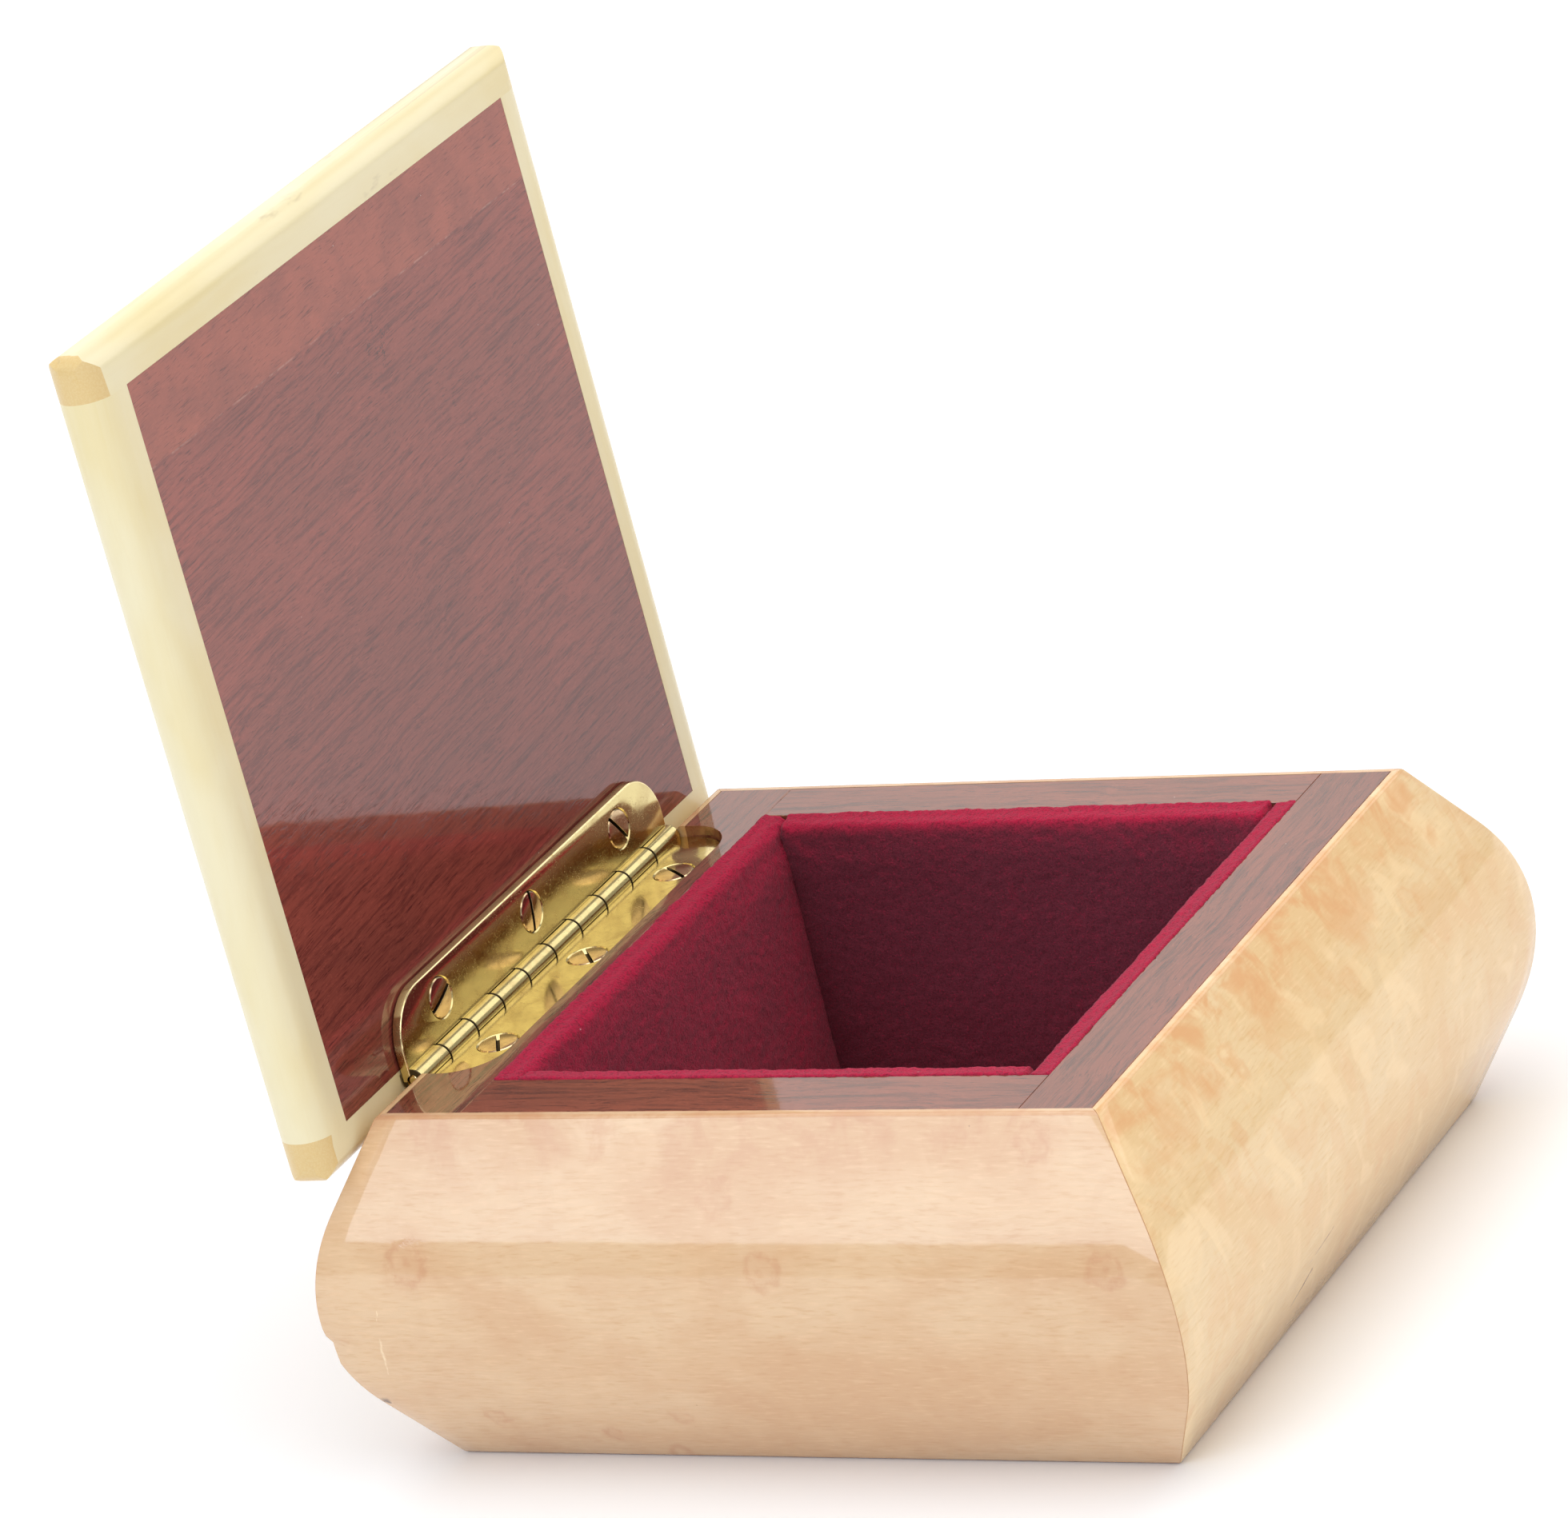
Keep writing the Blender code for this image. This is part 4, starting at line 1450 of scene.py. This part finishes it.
        # the slot takes the hollow mark: dirt and painted shade
        mark_dirt_and_shade(slot, slot.faces)
        bm = carve(turned(outline), [slot])
        rim = [
            e for e in edges_where(bm, lambda p: near(abs(p.y), side[1]) and p.z > -0.07 * MM)
            if sharp(e, 0.9)
        ]
        ease(bm, rim, self.slot_ease, segments=1)
        number = list(self.lower_slots).index(place) - 1
        at = Vector((self.screw_reach, number * self.screw_pitch, facing * self.parting))
        flip = Matrix.Rotation(math.pi if facing > 0 else 0.0, 4, "X")
        turn = Matrix.Rotation(facing * (math.radians(degrees) - math.pi / 2), 4, "Z")
        carrier = self.place.swung if facing > 0 else self.place.fixed
        node = f"{leaf}_screw_{place}"
        body = Body.LID if facing > 0 else Body.BASE
        piece = Piece(f"{node}_brass", body, Slot.SCREW, Finishes.SCREW, (node,), smooth=18)
        piece.make(moved(bm, carrier @ Matrix.Translation(at) @ flip @ turn))

    def pocket(self) -> bmesh.types.BMesh:
        """Make the shape of the recess that takes both leaves when the lid is shut.

        Returns:
            The shape to cut away, in place.
        """
        half = self.length / 2 + self.pocket_play
        far = self.leaf_width + 0.2 * MM
        floor = -self.parting - self.leaf_thickness - self.pocket_depth
        bm = block((-self.leaf_width, -half, floor), (far, half, 5 * MM))
        uprights = [
            e for e in edges_where(bm, lambda p: near(p.x, far))
            if level(e, 1)
        ]
        ease(bm, uprights, self.corner, segments=self.corner_steps, worn=False)
        mark = bm.faces.layers.float.get(EDGE)
        for face in bm.faces:
            face[mark] = 0.8
        return moved(bm, self.place.fixed)

    def groove(self, matrix: Matrix) -> bmesh.types.BMesh:
        """Make the shape of a groove that clears the barrel, on the base or on the lid."""
        return moved(rod(self.barrel + self.clearance, self.length + 0.4 * MM), matrix)


# ---------------------------------------------------------------- the base


@dataclass
class MapleSides:
    """The four bulging maple sides, mitred at the corners."""

    hinge: Hinge
    height: float
    half: Vector
    lip: float = 0.9 * MM
    bulge_radius: float = 23.3 * MM
    bulge_angle: float = math.radians(30)
    bulge_steps: int = 26
    cells: int = 30
    edge_ease: float = 0.35 * MM
    mitre_ease: float = 0.16 * MM
    wobble: float = 0.05 * MM
    wobble_pitch: float = 55.0
    quiet_end: float = 8 * MM
    chip_height: float = 17.3 * MM
    chip_out: float = 9.0 * MM
    chip_reach: float = 1.8 * MM
    chip_bite: float = 1.0 * MM

    def build(self) -> None:
        """Make the four sides."""
        finishes = {
            Side.LEFT: Finishes.LEFT_MAPLE, Side.RIGHT: Finishes.RIGHT_MAPLE,
            Side.FRONT: Finishes.FRONT_MAPLE, Side.BACK: Finishes.BACK_MAPLE,
        }
        for side, finish in finishes.items():
            bm = self.shape(side)
            if side is Side.LEFT:
                bm = carve(bm, [self.hinge.pocket(), self.hinge.groove(self.hinge.place.fixed)])
            node = f"{side.label}_side"
            Piece(f"{node}_maple", Body.BASE, Slot.MAPLE, finish, (node,), smooth=40).make(bm)

    def section(self) -> list[tuple[float, float]]:
        """Give the closed section as pairs of distance out from the carcass and height.

        Returns:
            The section's points.
        """
        middle = self.height / 2
        reach = self.bulge_radius * math.sin(self.bulge_angle)
        slope = (middle - reach) * math.tan(self.bulge_angle)
        crown = self.lip + slope + self.bulge_radius * (1 - math.cos(self.bulge_angle))
        bow = []
        for number in range(self.bulge_steps + 1):
            angle = self.bulge_angle * (2 * number / self.bulge_steps - 1)
            out = crown - self.bulge_radius * (1 - math.cos(angle))
            bow.append((out, middle + self.bulge_radius * math.sin(angle)))
        return [(0.0, 0.0), (self.lip, 0.0), *bow, (self.lip, self.height), (0.0, self.height)]

    def shape(self, side: Side) -> bmesh.types.BMesh:
        """Extrude the section, cut the mitres, ease the edges and add the hand-made waver.

        Args:
            side: Which side it is.

        Returns:
            The side in place.
        """
        across, along = side.axis, 1 - side.axis
        face = self.half[across]
        length = self.half.x + self.half.y
        bm = bmesh.new()
        bm.faces.layers.float.new(EDGE)
        corners = []
        for out, height in self.section():
            point = Vector((0, 0, height))
            point[across] = side.sign * (face + out)
            point[along] = -length
            corners.append(bm.verts.new(point))
        grown = bmesh.ops.extrude_face_region(bm, geom=[bm.faces.new(corners)])
        push = Vector((0, 0, 0))
        push[along] = 2 * length
        ends = [v for v in grown["geom"] if isinstance(v, bmesh.types.BMVert)]
        bmesh.ops.translate(bm, vec=push, verts=ends)
        for end in (-1, 1):
            self.cut_mitre(bm, side, end)
        bmesh.ops.recalc_face_normals(bm, faces=bm.faces)
        lips = [
            e for e in edges_where(bm, lambda p: near(abs(p[across]), face + self.lip))
            if level(e, 2)
        ]
        ease(bm, lips, self.edge_ease, segments=3)
        mitres = [
            e for e in edges_where(bm, lambda p: abs(p[across]) > face + self.lip * 0.4)
            if sharp(e, 0.6) and not level(e, 2)
        ]
        ease(bm, mitres, self.mitre_ease, segments=2)
        runs = [
            e for e in bm.edges if abs(e.verts[0].co[along] - e.verts[1].co[along]) > 0.6 * length
        ]
        bmesh.ops.subdivide_edges(bm, edges=runs, cuts=self.cells, use_grid_fill=True)
        self.waver(bm, side)
        return bm

    def cut_mitre(self, bm: bmesh.types.BMesh, side: Side, end: int) -> None:
        """Cut one end at 45 degrees and close it.

        Args:
            bm: The side.
            side: Which side it is.
            end: -1 or 1, the end along the side's own length.
        """
        corner = Vector((self.half.x, self.half.y, 0))
        corner[side.axis] *= side.sign
        corner[1 - side.axis] *= end
        away = Vector((0, 0, 0))
        away[1 - side.axis], away[side.axis] = end, -side.sign
        geometry = list(bm.verts) + list(bm.edges) + list(bm.faces)
        cut = bmesh.ops.bisect_plane(
            bm, geom=geometry, plane_co=corner, plane_no=away.normalized(), clear_outer=True,
        )
        rim = [e for e in cut["geom_cut"] if isinstance(e, bmesh.types.BMEdge)]
        bmesh.ops.holes_fill(bm, edges=rim, sides=0)

    def waver(self, bm: bmesh.types.BMesh, side: Side) -> None:
        """Push the surface in and out a little, less near the mitres, and chip one corner.

        Args:
            bm: The side.
            side: Which side it is.
        """
        chip = Vector(
            (-self.half.x - self.chip_out, -self.half.y - self.chip_out, self.chip_height),
        )
        for vert in bm.verts:
            out = abs(vert.co[side.axis]) - self.half[side.axis]
            if out > self.lip * 1.2:
                room = self.half[1 - side.axis] + out - abs(vert.co[1 - side.axis])
                share = min(1.0, max(0.0, room / self.quiet_end))
                sway = noise.noise(vert.co * self.wobble_pitch + Vector((3.1, 7.7, 1.3)))
                vert.co += side.outward * sway * self.wobble * share
            near_chip = (vert.co - chip).length
            if near_chip < self.chip_reach:
                bite = self.chip_bite * (1 - near_chip / self.chip_reach)
                ragged = 0.7 + 0.6 * noise.noise(vert.co * 1500)
                vert.co += Vector((1, 1, 0)).normalized() * bite * ragged


@dataclass
class Carcass:
    """The mahogany walls, whose tops are the rim, and the bottom."""

    hinge: Hinge
    frame: dict
    top_ease: float = 0.14 * MM
    joint_ease: float = 0.03 * MM
    pocket_ease: float = 0.12 * MM

    def build(self) -> None:
        """Make the four walls and dress the bottom."""
        outer = Vector(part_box("right_wall")[1])
        outer = Vector((outer.x + SPREAD, outer.y + SPREAD, 0))
        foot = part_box("bottom_panel")[1].z
        for side in Side:
            low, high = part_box(f"{side.label}_wall")
            low.z = foot
            for axis, limit in ((0, outer.x), (1, outer.y)):
                low[axis] = -limit if low[axis] < -limit + 0.3 * MM else low[axis]
                high[axis] = limit if high[axis] > limit - 0.3 * MM else high[axis]
            if side.axis:
                low.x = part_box("left_wall")[1].x
                high.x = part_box("right_wall")[0].x
            bm = block(low, high)
            rim = edges_where(bm, lambda p: near(p.z, high.z))
            along = 0 if side.axis else 1
            runs = [e for e in rim if not level(e, along)]
            ease(bm, runs, self.top_ease)
            ends = [
                e for e in edges_where(bm, lambda p: near(p.z, high.z))
                if level(e, along)
            ]
            ease(bm, ends, self.joint_ease, segments=1, worn=False)
            if side is Side.LEFT:
                bm = self.let_in_hinge(bm, high.z)
            finish = Finishes.RIM_ALONG_X if side.axis else Finishes.RIM_ALONG_Y
            node = f"{side.label}_wall"
            Piece(f"{node}_mahogany", Body.BASE, Slot.MAHOGANY, finish, (node,), smooth=22).make(bm)
        dress(self.frame, "bottom_panel", Finishes.RIM_ALONG_X)

    def let_in_hinge(self, bm: bmesh.types.BMesh, top: float) -> bmesh.types.BMesh:
        """Cut the hinge's pocket and ease its upper edge.

        Args:
            bm: The left wall.
            top: The rim's height.

        Returns:
            The wall with its pocket.
        """
        bm = carve(bm, [self.hinge.pocket()])
        axis = self.hinge.place.axis
        far = axis.x + self.hinge.leaf_width + 0.25 * MM
        half = self.hinge.length / 2 + 0.2 * MM
        border = [
            e for e in edges_where(bm, lambda p: near(p.z, top) and p.x < far and abs(p.y) < half)
            if sharp(e, 0.7)
        ]
        ease(bm, border, self.pocket_ease)
        return bm


@dataclass
class Lining:
    """Velvet pads over card on the four walls and the floor of the well."""

    frame: dict
    model_scale: float = 6.0
    cell: float = 0.8 * MM
    rounding: float = 1.0 * MM
    overlap: float = 0.8 * MM
    tuck: float = 0.5 * MM
    above_rim: float = 0.2 * MM
    rise: float = 0.35 * MM
    glued: float = 0.35 * MM
    pile: float = 0.13 * MM
    hollows: float = 0.12 * MM
    side_play: float = 0.2 * MM
    fill: float = 0.85
    cloth_mass: float = 0.3
    stretch_stiffness: float = 25.0
    bend_stiffness: float = 1.5
    pressure: float = 4.0
    frames: int = 20

    def build(self) -> None:
        """Make the five pads, and dress the cards behind them."""
        for side in Side:
            self.make_pad(side.label, side)
        self.make_pad("floor", None)
        for label in ("left", "right", "front", "back", "floor"):
            dress(self.frame, f"{label}_card", Finishes.CARD)

    def make_pad(self, label: str, side: Side | None) -> None:
        """Make one pad: puffed by cloth, glued at its back, with its pile raised.

        Args:
            label: The word that starts its node's name.
            side: The wall that it lines, or None for the floor.
        """
        node = f"{label}_pad"
        low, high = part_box(node)
        if side is None:
            low.x, low.y = low.x - self.side_play, low.y - self.side_play
            high.x, high.y = high.x + self.side_play, high.y + self.side_play
        else:
            back = high if side.sign > 0 else low
            back[side.axis] += side.sign * self.tuck
            high.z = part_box("left_wall")[1].z + self.above_rim
            if side.axis:
                low.x, high.x = low.x - self.overlap, high.x + self.overlap
            else:
                low.y, high.y = low.y - self.tuck, high.y + self.tuck
        bm = block(low, high)
        top = edges_where(bm, lambda p: near(p.z, high.z))
        if side:
            wall = (high if side.sign > 0 else low)[side.axis]
            top = [e for e in top if not any(near(v.co[side.axis], wall) for v in e.verts)]
        ease(bm, top, self.rounding, segments=5, worn=False)
        bm = self.puffed(bm, side, low, high)
        self.raise_pile(bm)
        piece = Piece(
            f"{label}_velvet", Body.BASE, Slot.VELVET, Finishes.VELVET, (node,), smooth=180,
        )
        piece.make(bm)

    def puffed(
        self, bm: bmesh.types.BMesh, side: Side | None, low: Vector, high: Vector,
    ) -> bmesh.types.BMesh:
        """Let cloth over the pad swell under pressure, and cap how far it goes.

        Args:
            bm: The plain pad.
            side: The wall that it lines, or None for the floor.
            low: The pad's lowest corner.
            high: The pad's highest corner.

        Returns:
            The swollen pad, smoothed once.
        """
        bmesh.ops.scale(bm, vec=(self.model_scale,) * 3, verts=bm.verts)
        pad = scratch_object(bm)
        grid = pad.modifiers.new("cells", "REMESH")
        grid.mode, grid.voxel_size = "VOXEL", self.cell * self.model_scale
        pad = scratch_object(take_result(pad))
        rest = [v.co.copy() for v in pad.data.vertices]
        axis, sign = (2, -1) if side is None else (side.axis, side.sign)
        back = (high if sign > 0 else low)[axis]
        held = pad.vertex_groups.new(name="glued")
        held.add(
            [
                v.index for v in pad.data.vertices
                if abs(v.co[axis] / self.model_scale - back) < self.glued + self.cell
            ],
            1.0, "REPLACE",
        )
        self.inflate(pad)
        soft = take_result(pad)
        cap = self.rise * self.model_scale
        for vert, start in zip(soft.verts, rest):
            shift = vert.co - start
            if shift.length > cap:
                vert.co = start + shift.normalized() * cap
        bmesh.ops.scale(soft, vec=(1 / self.model_scale,) * 3, verts=soft.verts)
        pad = scratch_object(soft)
        finer = pad.modifiers.new("finer", "SUBSURF")
        finer.levels = finer.render_levels = 1
        return take_result(pad)

    def inflate(self, pad: bpy.types.Object) -> None:
        """Add cloth under light pressure and run it.

        Args:
            pad: The pad's object, with its glued back as a vertex group.
        """
        cloth = pad.modifiers.new("swell", "CLOTH")
        cloth.settings.quality = 6
        cloth.settings.mass = self.cloth_mass
        cloth.settings.tension_stiffness = self.stretch_stiffness
        cloth.settings.compression_stiffness = self.stretch_stiffness
        cloth.settings.bending_stiffness = self.bend_stiffness
        cloth.settings.use_pressure = True
        cloth.settings.uniform_pressure_force = self.pressure
        cloth.settings.vertex_group_mass = "glued"
        cloth.settings.effector_weights.gravity = 0
        cloth.collision_settings.use_collision = False
        for number in range(1, self.frames + 1):
            bpy.context.scene.frame_set(number)

    def raise_pile(self, bm: bmesh.types.BMesh) -> None:
        """Roughen the surface with tufts.

        Args:
            bm: The pad.
        """
        bm.normal_update()
        shifts = []
        for vert in bm.verts:
            tuft = noise.noise(vert.co * 1300) + 0.6 * noise.noise(vert.co * 3100)
            slow = noise.noise(vert.co * 170)
            shifts.append(vert.normal * (tuft * self.pile + slow * self.hollows))
        for vert, shift in zip(bm.verts, shifts):
            vert.co += shift


# ---------------------------------------------------------------- the lid


@dataclass
class Lid:
    """A flat lid: an inner and an outer panel on a core, inside four bullnosed strips."""

    hinge: Hinge
    frame: dict
    length: float = 97.4 * MM
    width: float = 95.8 * MM
    thickness: float = 6.8 * MM
    overhang: float = 3.95 * MM
    middle: float = -1.3 * MM
    rise: float = 1.45 * MM
    strip: float = 5.3 * MM
    nose: float = 3.3 * MM
    nose_steps: int = 14
    corner: float = 2.3 * MM
    facing: float = 1.2 * MM
    seam_ease: float = 0.05 * MM
    sunk: float = 0.02 * MM

    def build(self) -> None:
        """Make the strips and the panels, and dress the core."""
        low = Vector((-self.overhang, self.middle - self.width / 2, self.rise))
        high = low + Vector((self.length, self.width, self.thickness))
        self.make_strips(low, high)
        self.make_panels(low, high)
        dress(self.frame, "lid_core", Finishes.PLYWOOD)

    def make_strips(self, low: Vector, high: Vector) -> None:
        """Make the four strips: two run the full width, two lie between them.

        Args:
            low: The lid's lowest corner on the hinge's own axes.
            high: Its highest corner.
        """
        inner_low, inner_high = low.x + self.strip, high.x - self.strip
        full = {
            "hinge": (low, Vector((inner_low, high.y, high.z)), low.x),
            "free": (Vector((inner_high, low.y, low.z)), high, high.x),
        }
        short = {
            "front": (
                Vector((inner_low, low.y, low.z)), Vector((inner_high, low.y + self.strip, high.z)),
                low.y,
            ),
            "back": (
                Vector((inner_low, high.y - self.strip, low.z)),
                Vector((inner_high, high.y, high.z)), high.y,
            ),
        }
        for label, (near_corner, far_corner, outer) in full.items():
            bm = block(near_corner, far_corner)
            noses = [
                e for e in bm.edges
                if level(e, 2)
                and (
                    all(near(v.co.x, outer) for v in e.verts)
                    or level(e, 1)
                )
            ]
            ease(bm, noses, self.nose, segments=self.nose_steps, worn=False)
            bm = carve(bm, [self.rounded_plan(low, high)], "INTERSECT")
            if label == "hinge":
                bm = carve(bm, [self.hinge.groove(Matrix.Identity(4))])
            self.finish_strip(bm, label, Finishes.HOLLY_ALONG_Y)
        for label, (near_corner, far_corner, outer) in short.items():
            bm = block(near_corner, far_corner)
            noses = edges_where(bm, lambda p, at=outer: near(p.y, at))
            noses = [e for e in noses if level(e, 2)]
            ease(bm, noses, self.nose, segments=self.nose_steps, worn=False)
            self.finish_strip(bm, label, Finishes.HOLLY_UPRIGHT)

    def rounded_plan(self, low: Vector, high: Vector) -> bmesh.types.BMesh:
        """Make the lid's outline with rounded corners, taller than the lid.

        Args:
            low: The lid's lowest corner.
            high: Its highest corner.

        Returns:
            The shape that the strips are cut to.
        """
        spare = Vector((0, 0, 5 * MM))
        bm = block(low - spare, high + spare)
        uprights = [e for e in bm.edges if not level(e, 2)]
        ease(bm, uprights, self.corner, segments=8, worn=False)
        return bm

    def finish_strip(self, bm: bmesh.types.BMesh, label: str, finish: HollyFinish) -> None:
        """Stand a strip in its place on the open lid and make it a piece.

        Args:
            bm: The strip on the hinge's own axes.
            label: The word that ends its node's name.
            finish: Its holly.
        """
        moved(bm, self.hinge.place.swung)
        node = f"lid_edge_{label}"
        Piece(f"{node}_holly", Body.LID, Slot.HOLLY, finish, (node,), smooth=28).make(bm)

    def make_panels(self, low: Vector, high: Vector) -> None:
        """Make the inner and the outer panel.

        Args:
            low: The lid's lowest corner on the hinge's own axes.
            high: Its highest corner.
        """
        field_low = low + Vector((self.strip, self.strip, 0))
        field_high = high - Vector((self.strip, self.strip, 0))
        panels = (
            (
                "lid_lining", low.z + self.sunk, low.z + self.facing, Finishes.LID_MAHOGANY,
                Slot.MAHOGANY,
            ),
            (
                "lid_top_panel", high.z - self.facing, high.z - self.sunk, Finishes.LID_MAPLE,
                Slot.MAPLE,
            ),
        )
        for node, foot, top, finish, slot in panels:
            bm = block((field_low.x, field_low.y, foot), (field_high.x, field_high.y, top))
            ease(bm, [e for e in bm.edges if level(e, 2)], self.seam_ease)
            moved(bm, self.hinge.place.swung)
            Piece(f"{node}_veneer", Body.LID, slot, finish, (node,), smooth=22).make(bm)


# ---------------------------------------------------------------- the studio


def bearing(azimuth: float, elevation: float) -> Vector:
    """Give the direction from the box at an azimuth, 0 to the front and 90 to the right.

    Args:
        azimuth: Its degrees round the box.
        elevation: Its degrees up from level.

    Returns:
        A unit vector.
    """
    turn, lift = math.radians(azimuth), math.radians(elevation)
    return Vector((
        math.sin(turn) * math.cos(lift), -math.cos(turn) * math.cos(lift), math.sin(lift),
    ))


@dataclass(frozen=True)
class SoftBox:
    """A rectangular soft light that faces the box."""

    name: str
    azimuth: float
    elevation: float
    distance: float
    width: float
    height: float
    radiance: float
    colour: Colour = (1.0, 1.0, 1.0)

    def place(self, aim: Vector) -> None:
        """Put the light in the scene, aimed at a point.

        Args:
            aim: The point.
        """
        data = bpy.data.lights.new(self.name, "AREA")
        data.shape, data.size, data.size_y = "RECTANGLE", self.width, self.height
        data.energy = self.radiance * math.pi * self.width * self.height
        data.color = self.colour
        lamp = bpy.data.objects.new(self.name, data)
        away = bearing(self.azimuth, self.elevation)
        lamp.location = aim + away * self.distance
        lamp.rotation_mode = "QUATERNION"
        lamp.rotation_quaternion = away.to_track_quat("Z", "Y")
        lamp.visible_camera = False
        bpy.context.scene.collection.objects.link(lamp)


@dataclass
class Studio:
    """A pale floor, soft lights and the camera."""

    floor_radius: float = 4.0
    aim: Vector = field(default_factory=lambda: Vector((0.0, 0.0, 0.05)))
    eye: Vector = field(default_factory=lambda: Vector((0.4237, -0.7083, 0.3772)))
    azimuth: float = 31.38
    elevation: float = 20.70
    roll: float = -13.97
    lens: float = 185.71
    sensor: float = 36.0
    floor_drop: float = 0.05 * MM
    sky: Colour = (0.42, 0.415, 0.41)
    boxes: tuple[SoftBox, ...] = (
        SoftBox("key_front_left", -18.7, 31.5, 1.5, 0.98, 0.95, 2.5, (0.85, 0.97, 1.14)),
        SoftBox("overhead", 0.0, 90.0, 1.7, 2.2, 2.2, 1.75),
        SoftBox("fill_right", 78.0, 34.0, 1.7, 1.3, 1.0, 1.35),
        SoftBox("back_left_panel", 212.0, 24.0, 1.7, 1.3, 1.0, 0.95, (1.0, 0.96, 0.93)),
        SoftBox("back_right_high", 150.0, 34.0, 1.8, 1.2, 0.85, 1.1),
    )

    def build(self) -> None:
        """Make the floor, the sky, the lights and the camera."""
        bm = bmesh.new()
        bmesh.ops.create_circle(bm, cap_ends=True, segments=96, radius=self.floor_radius)
        mesh = bpy.data.meshes.new("studio_floor")
        bm.to_mesh(mesh)
        bm.free()
        floor = bpy.data.objects.new("studio_floor", mesh)
        mesh.materials.append(FloorFinish().material())
        bpy.context.scene.collection.objects.link(floor)
        floor.location.z = -self.floor_drop
        world = bpy.data.worlds.new("studio")
        world.use_nodes = True
        sky = world.node_tree.nodes["Background"]
        sky.inputs["Color"].default_value = (*self.sky, 1.0)
        bpy.context.scene.world = world
        bpy.context.scene.view_settings.view_transform = "Standard"
        for box in self.boxes:
            box.place(self.aim)
        self.place_camera()
        LOG.info("studio: %d lights", len(self.boxes))

    def place_camera(self) -> None:
        """Make the camera, turned about its own line of sight by the roll."""
        data = bpy.data.cameras.new("camera")
        data.lens, data.sensor_width = self.lens, self.sensor
        data.clip_start, data.clip_end = 0.01, 50.0
        camera = bpy.data.objects.new("camera", data)
        look = (-bearing(self.azimuth, self.elevation)).to_track_quat("-Z", "Y")
        camera.rotation_mode = "QUATERNION"
        camera.rotation_quaternion = look @ Quaternion((0, 0, 1), math.radians(self.roll))
        camera.location = self.eye
        bpy.context.scene.collection.objects.link(camera)
        bpy.context.scene.camera = camera


def corners(box: tuple[Vector, Vector]) -> list[list[float]]:
    """Give a box's two corners as plain numbers."""
    return [[float(x) for x in corner] for corner in box]


def main() -> None:
    """Build the looks of the ring box."""
    logging.basicConfig(level=logging.INFO, format="%(name)s %(message)s")
    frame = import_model()
    hinge = Hinge(HingeFrame.read(frame))
    low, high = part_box("right_wall")
    half = Vector((high.x + SPREAD, high.y + SPREAD, 0))
    MapleSides(hinge, high.z, half).build()
    Carcass(hinge, frame).build()
    Lining(frame).build()
    hinge.build()
    Lid(hinge, frame).build()
    Studio().build()


if __name__ == "__main__":
    main()
